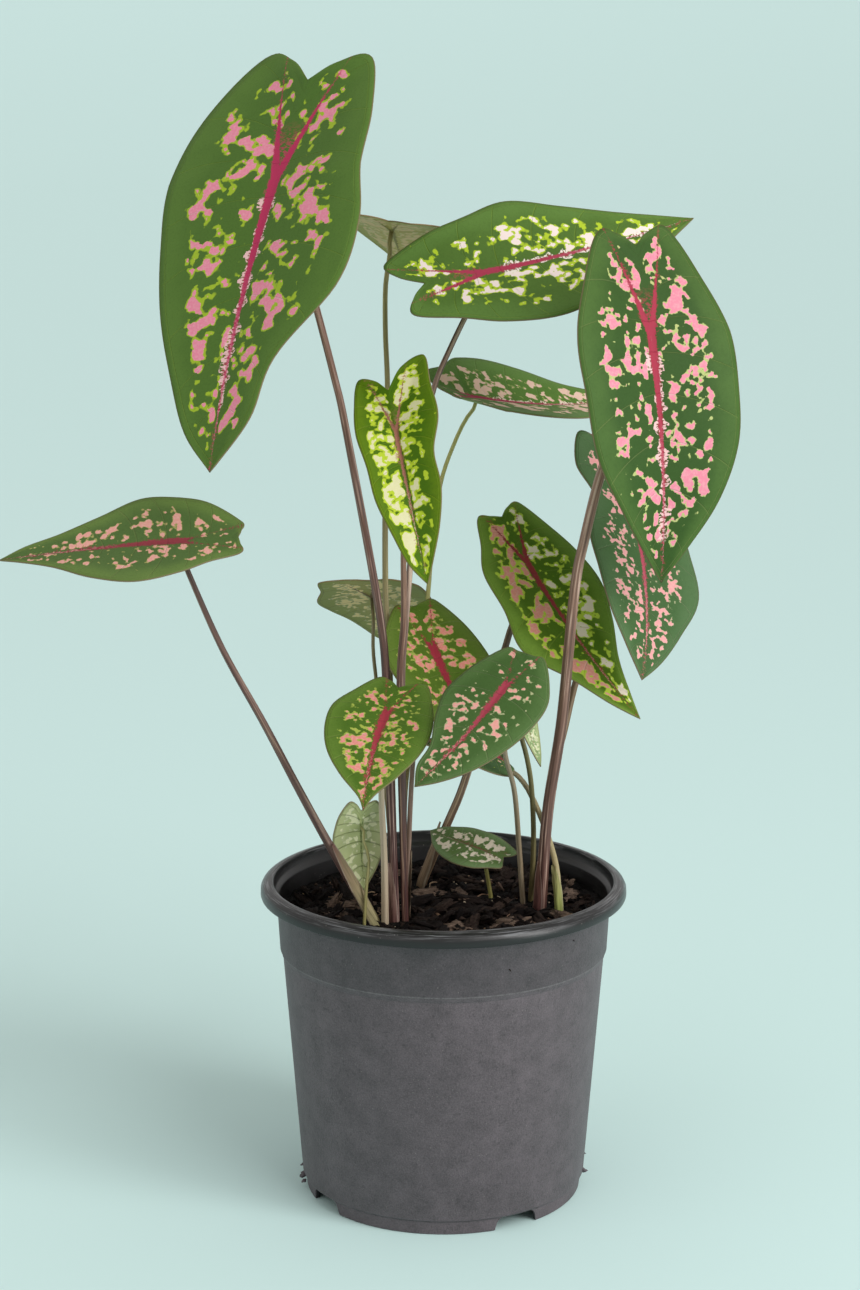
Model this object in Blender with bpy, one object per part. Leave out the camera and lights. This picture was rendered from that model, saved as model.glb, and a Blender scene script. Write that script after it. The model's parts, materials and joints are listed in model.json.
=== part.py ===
"""A caladium in its pot: arrow-shaped leaves on slender stems, in potting mix over three tubers.

Lengths are in millimetres and angles in degrees until they become meshes, which are in metres.
The pot's centre line is the Z axis and its foot stands at z = 0. The viewer's side is -Y.
"""

import math
from typing import NamedTuple

import bmesh
import bpy
from mathutils import Euler, Matrix, Vector, noise

MM = 0.001
GAP = 0.35

# Pot
POT_SIDES = 48
POT_HEIGHT = 149.0
LIP_RADIUS = 85.0
LIP_DEPTH = 6.8
LIP_THICKNESS = 6.2
WALL = 1.6
COLLAR_TOP_RADIUS = 77.6
COLLAR_FOOT_RADIUS = 76.2
COLLAR_FOOT_Z = 117.0
BODY_TOP_RADIUS = 74.9
BODY_TOP_Z = 114.0
BODY_FOOT_RADIUS = 66.6
FOOT_BAND_Z = 7.4
FOOT_RADIUS = 64.6
FOOT_RING_WIDTH = 2.4
FLOOR_TOP_Z = 5.0
PAD_RADIUS = 25.0
PAD_SLOPE = 7.0
NOTCH_TURNS = (-58.0, 31.0, 122.0, 211.0)
NOTCH_WIDTH = 25.0
NOTCH_HEIGHT = 6.4
DRAIN_RADIUS = 4.5
DRAIN_RING_RADIUS = 47.0
DRAIN_COUNT = 8

# Potting mix and what lies in it
MIX_Z = 134.5
MIX_WAVE = 1.3
MIX_RINGS = (14.0, 28.0, 42.0, 56.0, 68.0)
CROWN_Z = 112.0

# Leaves
BLADE_THICKNESS = 0.8
ROW_STEPS = 2
STATIONS = (0.0, 0.22, 0.45, 0.67, 0.86)
BASAL_CREASE = 0.42
STEM_SPACING = 20.0


class Blade(NamedTuple):
    """One leaf blade: the place of its junction with the stem, the way it faces, and its cut.

    Right and left are as seen from the junction to the tip, with the upper face upwards.
    The six widths of a side are at half the lobe, at the junction and at four stations to the tip.
    """

    at: tuple
    heading: float
    pitch: float
    roll: float
    length: float
    notch: float
    fold: float
    arch: float
    curl: float
    sweep: float
    lobes: tuple
    spread: tuple
    right: tuple
    left: tuple


class Stem(NamedTuple):
    """One stem: its foot on the mix, its radius at the foot and at the top, and the points it passes."""

    foot: tuple
    radii: tuple
    via: tuple


class Tuber(NamedTuple):
    """A tuber: the middle of its flat crown, its radius and its height."""

    at: tuple
    radius: float
    height: float


class Chip(NamedTuple):
    """A bark chip lying half sunk in the mix."""

    at: tuple
    size: tuple
    turn: float
    tilt: float


TUBERS = {
    "tuber_front": Tuber(at=(-27.0, -20.0), radius=20.0, height=26.0),
    "tuber_back": Tuber(at=(-12.0, 34.0), radius=13.0, height=19.0),
    "tuber_right": Tuber(at=(39.0, 4.0), radius=24.0, height=28.0),
}

CHIPS = (
    Chip(at=(38, -17), size=(23, 8, 5), turn=10, tilt=6),
    Chip(at=(8, -44), size=(14, 6, 4), turn=-35, tilt=-8),
    Chip(at=(-2, -14), size=(11, 5, 4), turn=70, tilt=10),
    Chip(at=(-50, -30), size=(13, 7, 4), turn=40, tilt=-6),
    Chip(at=(-58, 8), size=(10, 6, 4), turn=95, tilt=8),
    Chip(at=(18, -62), size=(12, 5, 3), turn=20, tilt=5),
    Chip(at=(-24, -58), size=(16, 6, 4), turn=-15, tilt=7),
    Chip(at=(60, -34), size=(11, 6, 4), turn=60, tilt=-9),
    Chip(at=(6, 8), size=(13, 6, 4), turn=-50, tilt=6),
    Chip(at=(20, 46), size=(15, 7, 4), turn=25, tilt=-7),
    Chip(at=(-40, 42), size=(14, 6, 4), turn=-30, tilt=5),
    Chip(at=(-4, 64), size=(12, 6, 4), turn=5, tilt=8),
    Chip(at=(58, 36), size=(12, 6, 4), turn=-60, tilt=-5),
)

BLADES = {
    "01": Blade(
        at=(-75, 8, 469), heading=-114, pitch=-53, roll=-11, length=149, notch=53,
        fold=12, arch=2, curl=0.12, sweep=-10, lobes=(70, 66), spread=(34, 29),
        right=(53, 57, 50, 40, 27, 15), left=(43, 49, 57, 53, 27, 19)),
    "02": Blade(
        at=(-24, 66, 444), heading=85, pitch=-15, roll=-9, length=62, notch=18,
        fold=12, arch=8, curl=0.04, sweep=0, lobes=(25, 28), spread=(14, 14),
        right=(23, 25, 24, 20, 13, 6), left=(23, 25, 24, 20, 13, 6)),
    "03": Blade(
        at=(19, 26, 427), heading=16, pitch=10, roll=-41, length=110, notch=29,
        fold=7, arch=8, curl=0.03, sweep=-14, lobes=(38, 44), spread=(17, 16),
        right=(25, 34, 37, 29, 18, 7), left=(28, 33, 37, 27, 16, 7)),
    "04": Blade(
        at=(91, -18, 402), heading=-64, pitch=-72, roll=2, length=112, notch=42,
        fold=12, arch=33, curl=0.06, sweep=-7, lobes=(49, 52), spread=(17, 20),
        right=(31, 41, 40, 36, 23, 10), left=(30, 38, 39, 37, 27, 12)),
    "05": Blade(
        at=(-21, -42, 363), heading=-76, pitch=-48, roll=-22, length=73, notch=22,
        fold=19, arch=17, curl=0.02, sweep=0, lobes=(32, 38), spread=(13, 18),
        right=(16, 17, 15, 14, 10, 6), left=(19, 20, 15, 15, 11, 5)),
    "06": Blade(
        at=(16, 52, 367), heading=29, pitch=-11, roll=-18, length=93, notch=20,
        fold=15, arch=-5, curl=0.03, sweep=-24, lobes=(6, 21), spread=(18, 19),
        right=(29, 32, 33, 29, 18, 8), left=(24, 31, 33, 27, 16, 9)),
    "07": Blade(
        at=(40, 46, 289), heading=-53, pitch=-42, roll=-9, length=95, notch=29,
        fold=4, arch=2, curl=0.05, sweep=-12, lobes=(31, 36), spread=(12, 13),
        right=(18, 25, 26, 30, 17, 8), left=(22, 28, 30, 23, 12, 5)),
    "08": Blade(
        at=(88, 42, 318), heading=-71, pitch=-52, roll=19, length=95, notch=24,
        fold=6, arch=3, curl=0.04, sweep=24, lobes=(40, 40), spread=(18, 18),
        right=(28, 23, 31, 28, 22, 11), left=(32, 26, 28, 30, 19, 9)),
    "09": Blade(
        at=(-116, -42, 315), heading=-179, pitch=-4, roll=30, length=81, notch=26,
        fold=8, arch=10, curl=0.03, sweep=6, lobes=(28, 27), spread=(11, 10),
        right=(23, 27, 28, 19, 11, 6), left=(16, 24, 28, 22, 11, 4)),
    "10": Blade(
        at=(-34, 60, 271), heading=76, pitch=-27, roll=9, length=73, notch=28,
        fold=3, arch=5, curl=0.06, sweep=-9, lobes=(24, 33), spread=(15, 17),
        right=(24, 26, 26, 21, 14, 6), left=(21, 27, 24, 18, 13, 8)),
    "11": Blade(
        at=(-4, 16, 253), heading=-62, pitch=-41, roll=-2, length=56, notch=28,
        fold=6, arch=12, curl=0.05, sweep=-8, lobes=(29, 32), spread=(10, 12),
        right=(20, 26, 25, 21, 15, 6), left=(20, 24, 25, 21, 15, 7)),
    "12": Blade(
        at=(-26, -48, 238), heading=-106, pitch=-26, roll=7, length=60, notch=20,
        fold=8, arch=5, curl=0.05, sweep=-12, lobes=(25, 26), spread=(11, 12),
        right=(18, 24, 24, 20, 12, 3), left=(18, 22, 23, 20, 13, 4)),
    "13": Blade(
        at=(26, -54, 252), heading=-131, pitch=-36, roll=18, length=63, notch=21,
        fold=0, arch=2, curl=0.06, sweep=13, lobes=(21, 21), spread=(10, 9),
        right=(17, 21, 23, 18, 10, 7), left=(17, 22, 22, 19, 14, 7)),
    "14": Blade(
        at=(24, -19, 212), heading=-140, pitch=20, roll=36, length=48, notch=4,
        fold=10, arch=6, curl=0.04, sweep=0, lobes=(7, 8), spread=(5, 6),
        right=(8, 9, 9, 8, 5, 2), left=(10, 14, 15, 12, 7, 3)),
    "15": Blade(
        at=(32, -12, 239), heading=-45, pitch=-56, roll=0, length=35, notch=9,
        fold=12, arch=10, curl=0.04, sweep=0, lobes=(18, 22), spread=(5, 6),
        right=(9, 10, 9, 6, 4, 2), left=(8, 10, 9, 6, 4, 2)),
    "16": Blade(
        at=(19, 8, 160), heading=155, pitch=12, roll=24, length=35, notch=10,
        fold=2, arch=28, curl=0.07, sweep=26, lobes=(15, 11), spread=(6, 7),
        right=(10, 12, 12, 11, 8, 5), left=(10, 13, 14, 12, 8, 3)),
    "17": Blade(
        at=(-38, -15, 178), heading=101, pitch=-82, roll=3, length=31, notch=8,
        fold=6, arch=25, curl=0.04, sweep=3, lobes=(13, 13), spread=(7, 6),
        right=(10, 11, 11, 10, 7, 3), left=(10, 12, 13, 11, 7, 3)),
}

STEMS = {
    "01": Stem(
        foot=(-22.2, -23.5), radii=(2.1, 1.5),
        via=((-24, -21, 192), (-26, -17, 248), (-28, -15, 271), (-33, -11, 301), (-45, -1, 364),
             (-48, 2, 377), (-57, 9, 411), (-65, 14, 438))),
    "02": Stem(
        foot=(-22.2, -19.0), radii=(1.7, 1.1),
        via=((-24, -4, 206), (-25, 22, 243), (-26, 30, 260), (-27, 31, 280), (-27, 36, 326),
             (-26, 42, 371), (-27, 50, 397), (-27, 58, 418), (-25, 62, 432))),
    "03": Stem(
        foot=(-17.6, -19.0), radii=(1.6, 1.2),
        via=((-19, -14, 237), (-17, -13, 274), (-15, -9, 301), (-14, -3, 327), (-10, 6, 353),
             (-4, 16, 377), (3, 22, 393), (10, 26, 407), (15, 28, 415))),
    "04": Stem(
        foot=(45.0, -2.2), radii=(2.8, 2.0),
        via=((48, -4, 182), (54, -7, 226), (59, -11, 287), (63, -12, 310), (71, -14, 344),
             (85, -16, 378))),
    "05": Stem(
        foot=(-17.6, -23.5), radii=(1.6, 1.2),
        via=((-20, -20, 238), (-18, -22, 276), (-18, -27, 304), (-18, -31, 322), (-20, -36, 345))),
    "06": Stem(
        foot=(-17.6, -10.0), radii=(1.4, 0.9),
        via=((-18, -2, 187), (-13, 20, 224), (-9, 40, 254), (-7, 47, 276), (-5, 51, 299),
             (-1, 54, 327), (6, 54, 347), (11, 54, 357))),
    "07": Stem(
        foot=(-10.6, 35.0), radii=(2.2, 1.4),
        via=((2, 39, 164), (10, 43, 183), (22, 50, 222), (30, 54, 248), (33, 54, 258),
             (39, 52, 274))),
    "08": Stem(
        foot=(44.2, 4.9), radii=(1.8, 1.4),
        via=((51, 13, 192), (57, 28, 213), (63, 40, 234), (74, 50, 266), (85, 50, 302))),
    "09": Stem(
        foot=(-31.2, -26.0), radii=(2.3, 1.1),
        via=((-51, -30, 172), (-65, -33, 200), (-80, -36, 231), (-98, -39, 266), (-113, -42, 303))),
    "10": Stem(
        foot=(-22.2, -14.5), radii=(1.1, 0.8),
        via=((-25, -7, 174), (-28, 6, 204), (-31, 26, 233), (-33, 38, 249), (-33, 46, 262))),
    "11": Stem(
        foot=(-17.6, -14.5), radii=(1.3, 1.0),
        via=((-14, -1, 206), (-9, 14, 231), (-5, 22, 244))),
    "12": Stem(
        foot=(-26.8, -27.0), radii=(1.8, 1.1),
        via=((-27, -32, 169), (-28, -38, 200), (-27, -43, 223))),
    "13": Stem(
        foot=(37.3, 7.0), radii=(1.3, 1.1),
        via=((35, -6, 163), (32, -26, 197), (27, -44, 220), (26, -51, 239))),
    "14": Stem(
        foot=(53.6, -7.0), radii=(1.5, 1.1),
        via=((53, 4, 150), (50, 14, 162), (45, 13, 176), (41, 8, 186), (37, 3, 194),
             (31, -3, 201))),
    "15": Stem(
        foot=(41.0, 11.5), radii=(1.3, 1.1),
        via=((42, 6, 161), (41, -2, 187), (39, -7, 204), (35, -11, 220))),
    "16": Stem(
        foot=(22.6, 15.0), radii=(1.0, 0.9),
        via=((20, 11, 150),)),
    "17": Stem(
        foot=(-36.3, -31.5), radii=(0.8, 0.6),
        via=((-35, -30, 155), (-34, -27, 166), (-37, -21, 174))),
}


def between(first, last, share):
    return first + (last - first) * share


def smooth_through(points, steps):
    """A smooth curve through the points, with this many steps from each point to the next."""
    points = [Vector(point) for point in points]
    last = len(points) - 1
    slopes = [(second - first) / 2 for first, second in zip(points, points[2:])]
    slopes = [points[1] - points[0], *slopes, points[last] - points[last - 1]]
    curve = []
    for i in range(last):
        for step in range(steps):
            t = step / steps
            curve.append(
                (2 * t**3 - 3 * t**2 + 1) * points[i]
                + (t**3 - 2 * t**2 + t) * slopes[i]
                + (3 * t**2 - 2 * t**3) * points[i + 1]
                + (t**3 - t**2) * slopes[i + 1]
            )
    return curve + [points[last]]


def evenly_spaced(curve):
    """Points about a stem spacing apart along a curve given by many close points."""
    reach = [0.0]
    for first, second in zip(curve, curve[1:]):
        reach.append(reach[-1] + (second - first).length)
    count = max(6, round(reach[-1] / STEM_SPACING))
    spaced = []
    segment = 0
    for i in range(count + 1):
        wanted = reach[-1] * i / count
        while segment < len(curve) - 2 and reach[segment + 1] < wanted:
            segment += 1
        share = (wanted - reach[segment]) / (reach[segment + 1] - reach[segment])
        spaced.append(between(curve[segment], curve[segment + 1], min(share, 1.0)))
    return spaced


# Objects and materials


def clear_scene():
    for obj in list(bpy.data.objects):
        bpy.data.objects.remove(obj, do_unlink=True)


def make_material(name, colour, roughness, metallic=0.0):
    material = bpy.data.materials.new(name)
    material.use_nodes = True
    shader = material.node_tree.nodes["Principled BSDF"]
    shader.inputs["Base Color"].default_value = (*colour, 1.0)
    shader.inputs["Roughness"].default_value = roughness
    shader.inputs["Metallic"].default_value = metallic
    return material


def make_object(name, data, material, parent=None, location=(0, 0, 0)):
    obj = bpy.data.objects.new(name, data)
    bpy.context.scene.collection.objects.link(obj)
    obj.data.materials.append(material)
    obj.parent = parent
    obj.location = Vector(location) * MM
    return obj


def finish_mesh(name, bm, sharp_angle=40.0):
    """A smooth-shaded mesh in metres from a bmesh in millimetres."""
    bmesh.ops.scale(bm, vec=(MM, MM, MM), verts=bm.verts)
    bmesh.ops.recalc_face_normals(bm, faces=bm.faces)
    mesh = bpy.data.meshes.new(name)
    bm.to_mesh(mesh)
    bm.free()
    mesh.shade_smooth()
    mesh.set_sharp_from_angle(angle=math.radians(sharp_angle))
    return mesh


def spin_profile(profile, sides):
    """A solid turned about Z from a profile of (radius, height) that starts and ends on the axis."""
    bm = bmesh.new()
    verts = [bm.verts.new((radius, 0.0, z)) for radius, z in profile]
    edges = [bm.edges.new(pair) for pair in zip(verts, verts[1:])]
    bmesh.ops.spin(
        bm, geom=verts + edges, axis=(0, 0, 1), cent=(0, 0, 0), angle=math.tau, steps=sides, use_merge=True
    )
    bmesh.ops.remove_doubles(bm, verts=bm.verts, dist=1e-4)
    return bm


def apply_boolean(obj, operation, operands):
    """Joins or cuts with all the operands at once, then removes them."""
    group = bpy.data.collections.new(obj.name + "_operands")
    bpy.context.scene.collection.children.link(group)
    for operand in operands:
        for holder in list(operand.users_collection):
            holder.objects.unlink(operand)
        group.objects.link(operand)
    modifier = obj.modifiers.new(operation.title(), "BOOLEAN")
    modifier.operation = operation
    modifier.operand_type = "COLLECTION"
    modifier.collection = group
    modifier.solver = "EXACT"
    with bpy.context.temp_override(object=obj, active_object=obj, selected_objects=[obj]):
        bpy.ops.object.modifier_apply(modifier=modifier.name)
    for operand in operands:
        bpy.data.objects.remove(operand, do_unlink=True)
    bpy.data.collections.remove(group)


# Pot


def pot_inner_radius(z):
    """The radius of the pot's inner wall at a height under its ledge."""
    if z > COLLAR_FOOT_Z:
        share = (z - COLLAR_FOOT_Z) / (POT_HEIGHT - LIP_DEPTH - COLLAR_FOOT_Z)
        return between(COLLAR_FOOT_RADIUS, COLLAR_TOP_RADIUS, share) - WALL
    share = (z - FOOT_BAND_Z) / (BODY_TOP_Z - FOOT_BAND_Z)
    return between(BODY_FOOT_RADIUS, BODY_TOP_RADIUS, min(share, 1.0)) - WALL


def pot_profile():
    """The pot's section, down the outside and back up the inside, from the axis below to the axis above."""
    lip_foot = POT_HEIGHT - LIP_DEPTH
    lip_inside = LIP_RADIUS - LIP_THICKNESS
    outside = [
        (0.0, 0.0),
        (PAD_RADIUS, 0.0),
        (PAD_RADIUS + PAD_SLOPE, FLOOR_TOP_Z - WALL),
        (FOOT_RADIUS - FOOT_RING_WIDTH, FLOOR_TOP_Z - WALL),
        (FOOT_RADIUS - FOOT_RING_WIDTH, 0.0),
        (FOOT_RADIUS, 0.0),
        (FOOT_RADIUS + 0.6, FOOT_BAND_Z - 1.2),
        (BODY_FOOT_RADIUS, FOOT_BAND_Z),
        (BODY_TOP_RADIUS, BODY_TOP_Z),
        (COLLAR_FOOT_RADIUS, COLLAR_FOOT_Z),
        (COLLAR_TOP_RADIUS, lip_foot - 0.4),
        (COLLAR_TOP_RADIUS + 0.8, lip_foot),
        (LIP_RADIUS - 0.8, lip_foot),
        (LIP_RADIUS, lip_foot + 1.4),
        (LIP_RADIUS - 0.1, POT_HEIGHT - 3.4),
        (LIP_RADIUS - 1.0, POT_HEIGHT - 1.7),
        (LIP_RADIUS - 2.8, POT_HEIGHT - 0.5),
        (LIP_RADIUS - 4.9, POT_HEIGHT),
    ]
    inside = [
        (lip_inside + 0.3, POT_HEIGHT - 0.4),
        (lip_inside, POT_HEIGHT - 1.4),
        (lip_inside - 0.3, lip_foot + WALL + 0.6),
        (lip_inside - 0.9, lip_foot + WALL - 0.2),
        (pot_inner_radius(lip_foot) + 0.4, lip_foot + 0.4),
        (pot_inner_radius(lip_foot), lip_foot - 0.6),
        (pot_inner_radius(COLLAR_FOOT_Z + 1.0), COLLAR_FOOT_Z + 1.0),
        (BODY_TOP_RADIUS - WALL, BODY_TOP_Z),
        (pot_inner_radius(FOOT_BAND_Z), FOOT_BAND_Z + 1.4),
        (pot_inner_radius(FOOT_BAND_Z) - 1.6, FLOOR_TOP_Z),
        (PAD_RADIUS + PAD_SLOPE - 0.6, FLOOR_TOP_Z),
        (PAD_RADIUS - 0.6, WALL),
        (0.0, WALL),
    ]
    return outside + inside


def drain_cutters(material):
    """Round holes through the raised floor, and notches through the foot of the wall."""
    cutters = []
    for i in range(DRAIN_COUNT):
        turn = math.tau * (i + 0.5) / DRAIN_COUNT
        bm = bmesh.new()
        bmesh.ops.create_cone(
            bm,
            cap_ends=True,
            segments=12,
            radius1=DRAIN_RADIUS,
            radius2=DRAIN_RADIUS,
            depth=3 * FLOOR_TOP_Z,
        )
        place = Vector((math.cos(turn), math.sin(turn), 0.0)) * DRAIN_RING_RADIUS
        bmesh.ops.translate(bm, vec=place, verts=bm.verts)
        cutters.append(make_object("drain_cutter", finish_mesh("drain_cutter", bm), material))
    for turn in NOTCH_TURNS:
        bm = bmesh.new()
        bmesh.ops.create_cube(bm, size=1.0)
        bmesh.ops.scale(bm, vec=(NOTCH_WIDTH, 12.0, 2 * NOTCH_HEIGHT), verts=bm.verts)
        bmesh.ops.translate(bm, vec=(0, -FOOT_RADIUS, 0), verts=bm.verts)
        around = Matrix.Rotation(math.radians(turn), 3, "Z")
        bmesh.ops.rotate(bm, cent=(0, 0, 0), matrix=around, verts=bm.verts)
        cutters.append(make_object("notch_cutter", finish_mesh("notch_cutter", bm), material))
    return cutters


def build_pot(root, material):
    pot = make_object("pot", finish_mesh("pot", spin_profile(pot_profile(), POT_SIDES)), material, root)
    apply_boolean(pot, "DIFFERENCE", drain_cutters(material))


# Tubers and potting mix


def tuber_profile(tuber, grow=0.0):
    """Half the section of a flattened tuber with a flat crown, from the axis below to the axis above."""
    radius = tuber.radius + grow
    return [
        (0.0, CROWN_Z - tuber.height - grow),
        (0.62 * radius, CROWN_Z - 0.9 * tuber.height - grow),
        (0.93 * radius, CROWN_Z - 0.66 * tuber.height),
        (radius, CROWN_Z - 0.42 * tuber.height),
        (0.97 * radius, CROWN_Z - 0.16 * tuber.height),
        (0.86 * radius, CROWN_Z + grow),
        (0.0, CROWN_Z + grow),
    ]


def build_tuber(name, tuber, material, root=None, grow=0.0):
    bm = spin_profile(tuber_profile(tuber, grow), 20)
    return make_object(name, finish_mesh(name, bm), material, root, (*tuber.at, 0.0))


def mix_profile():
    """Half the section of the filling, which follows the pot's inside a gap away, from below to above."""
    floor = FLOOR_TOP_Z + GAP
    return [
        (0.0, WALL + GAP),
        (PAD_RADIUS - 0.9, WALL + GAP),
        (PAD_RADIUS + PAD_SLOPE - 0.9, floor),
        (pot_inner_radius(FOOT_BAND_Z) - 1.9, floor),
        (pot_inner_radius(FOOT_BAND_Z) - GAP, FOOT_BAND_Z + 1.6),
        (BODY_TOP_RADIUS - WALL - GAP, BODY_TOP_Z),
        (pot_inner_radius(COLLAR_FOOT_Z + 1.0) - GAP, COLLAR_FOOT_Z + 1.3),
        (pot_inner_radius(MIX_Z) - GAP, MIX_Z),
    ] + [(radius, MIX_Z) for radius in reversed(MIX_RINGS)] + [(0.0, MIX_Z)]


def mix_height(x, y):
    """How far the surface of the mix stands above or below its mean height."""
    return MIX_WAVE * noise.noise((x / 17.0, y / 17.0, 3.0))


def build_mix(root, material):
    bm = spin_profile(mix_profile(), POT_SIDES)
    for vert in bm.verts:
        if vert.co.z > MIX_Z - 0.01:
            vert.co.z += mix_height(vert.co.x, vert.co.y)
    bmesh.ops.triangulate(bm, faces=bm.faces)
    mix = make_object("potting_mix", finish_mesh("potting_mix", bm), material, root)
    apply_boolean(mix, "UNION", [build_chip(chip, material) for chip in CHIPS])
    hollows = [build_tuber("hollow", tuber, material, grow=GAP) for tuber in TUBERS.values()]
    holes = [build_hole(STEMS[number], blade, material) for number, blade in BLADES.items()]
    apply_boolean(mix, "DIFFERENCE", hollows + holes)


def build_chip(chip, material):
    bm = bmesh.new()
    bmesh.ops.create_icosphere(bm, subdivisions=1, radius=0.5)
    bmesh.ops.scale(bm, vec=chip.size, verts=bm.verts)
    middle = MIX_Z + mix_height(*chip.at) + 0.3 * chip.size[2]
    obj = make_object("chip", finish_mesh("chip", bm, 20.0), material, None, (*chip.at, middle))
    obj.rotation_euler = Euler((math.radians(chip.tilt), 0.0, math.radians(chip.turn)))
    return obj


# Leaf blades


def half_outline(blade, side):
    """The margin of one half, from the notch round the lobe to the tip, as (across, along) points."""
    lobe = blade.lobes[side]
    spread = blade.spread[side]
    widths = (blade.right, blade.left)[side]
    anchors = [
        (0.0, -blade.notch),
        (0.42 * spread, -between(blade.notch, lobe, 0.74)),
        (spread, -lobe),
        (widths[0], -0.5 * lobe),
    ]
    anchors += [(width, station * blade.length) for width, station in zip(widths[1:], STATIONS)]
    anchors.append((0.0, blade.length))
    return smooth_through(anchors, ROW_STEPS)


def midrib_marks(blade):
    """Where each row of the blade leaves the middle line, one mark for each point of the margin."""
    anchors = [-share * blade.notch for share in (1.0, 0.85, 0.6, 0.3, 0.0)]
    anchors += [share * blade.length for share in (0.18, 0.39, 0.61, 0.82, 1.0)]
    marks = []
    for first, second in zip(anchors, anchors[1:]):
        marks += [between(first, second, step / ROW_STEPS) for step in range(ROW_STEPS)]
    return marks + [anchors[-1]]


def bend_blade(blade, across, along):
    """The place in the blade's own axes of a point of the flat cut leaf."""
    half_width = max(blade.right + blade.left)
    sweep = math.radians(blade.sweep) / blade.length
    if sweep:
        turn = sweep * along
        x = (1.0 - math.cos(turn)) / sweep + across * math.cos(turn)
        y = math.sin(turn) / sweep - across * math.sin(turn)
    else:
        x, y = across, along
    droop = math.radians(blade.arch) / blade.length
    crease = BASAL_CREASE * max(-along, 0.0)
    soft = 0.06 * half_width
    rise = math.hypot(abs(across) - crease, soft) - soft
    if abs(across) < crease:
        rise *= 0.4
    lift = math.tan(math.radians(blade.fold)) * rise - blade.curl * across**2 / half_width
    turn = droop * y
    run = math.sin(turn) / droop if droop else y
    fall = (1.0 - math.cos(turn)) / droop if droop else 0.0
    return Vector((x, run + lift * math.sin(turn), lift * math.cos(turn) - fall))


def blade_rotation(blade):
    """The turn that sends the blade's own axes, across, along and up, to their place."""
    angles = (blade.pitch, -blade.roll, blade.heading - 90.0)
    return Euler([math.radians(angle) for angle in angles], "YXZ")


def blade_mesh(name, blade):
    """The upper face of a blade, in triangles, with columns between the middle line and the margin."""
    columns = 3 if max(blade.right + blade.left) > 33 else 2
    bm = bmesh.new()
    marks = midrib_marks(blade)
    middle = [bm.verts.new(bend_blade(blade, 0.0, mark)) for mark in marks]
    for side, sign in enumerate((1, -1)):
        rows = []
        for vert, mark, edge in zip(middle, marks, half_outline(blade, side)):
            row = [vert]
            if vert not in (middle[0], middle[-1]):
                for column in range(1, columns + 1):
                    share = column / columns
                    across = sign * edge.x * share
                    row.append(bm.verts.new(bend_blade(blade, across, between(mark, edge.y, share))))
            rows.append(row)
        for first, second in zip(rows, rows[1:]):
            for column in range(columns):
                corners = face_corners(first, second, column)
                bm.faces.new(corners if sign > 0 else reversed(corners))
    bmesh.ops.triangulate(bm, faces=bm.faces)
    bmesh.ops.scale(bm, vec=(MM, MM, MM), verts=bm.verts)
    mesh = bpy.data.meshes.new(name)
    bm.to_mesh(mesh)
    bm.free()
    mesh.shade_smooth()
    return mesh


def face_corners(first, second, column):
    """The corners of a face between two rows. At the notch and the tip a whole row is one vertex."""
    if len(first) == 1:
        return [first[0], second[column + 1], second[column]]
    if len(second) == 1:
        return [first[column], first[column + 1], second[0]]
    return [first[column], first[column + 1], second[column + 1], second[column]]


def build_blade(number, blade, root, material):
    name = f"blade_{number}"
    obj = make_object(name, blade_mesh(name, blade), material, root, blade.at)
    obj.rotation_mode = "YXZ"
    obj.rotation_euler = blade_rotation(blade)
    thickness = obj.modifiers.new("Thickness", "SOLIDIFY")
    thickness.thickness = BLADE_THICKNESS * MM
    thickness.offset = -1.0


# Stems


def stem_points(stem, blade):
    """Points from a tuber's crown to the underside of the blade, which the stem meets squarely."""
    under = blade_rotation(blade).to_matrix() @ Vector((0.0, 0.0, -1.0))
    top = Vector(blade.at) + under * (BLADE_THICKNESS + GAP)
    turn_in = top + under * 5.0 * max(stem.radii[1], 1.0)
    foot = Vector((*stem.foot, CROWN_Z + GAP))
    above_mix = smooth_through([Vector((*stem.foot, MIX_Z)), *stem.via, turn_in], 8)
    return [*evenly_spaced([foot, *above_mix]), top]


def build_tube(name, points, radii, material, parent=None):
    """A tapering round stalk through the points, closed at both ends."""
    curve = bpy.data.curves.new(name, "CURVE")
    curve.dimensions = "3D"
    curve.bevel_depth = MM
    curve.bevel_resolution = 2
    curve.use_fill_caps = True
    spline = curve.splines.new("POLY")
    spline.points.add(len(points) - 1)
    for i, (target, point) in enumerate(zip(spline.points, points)):
        target.co = (*((point - points[0]) * MM), 1.0)
        target.radius = between(*radii, i / (len(points) - 1))
    return make_object(name, curve, material, parent, points[0])


def build_hole(stem, blade, material):
    """A cutter for the hole that a stem stands in, from inside the hollow of its tuber to above the mix."""
    points = stem_points(stem, blade)
    clear = next(i for i, point in enumerate(points) if point.z > MIX_Z + 6.0)
    points = [points[0] - Vector((0.0, 0.0, 3.0)), *points[: clear + 1]]
    radius = stem.radii[0] + GAP
    tube = build_tube("hole", points, (radius, radius), material)
    bpy.context.view_layer.update()
    mesh = bpy.data.meshes.new_from_object(tube.evaluated_get(bpy.context.evaluated_depsgraph_get()))
    hole = make_object("hole", mesh, material)
    hole.location = tube.location
    bpy.data.objects.remove(tube, do_unlink=True)
    return hole


# Whole plant


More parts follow.
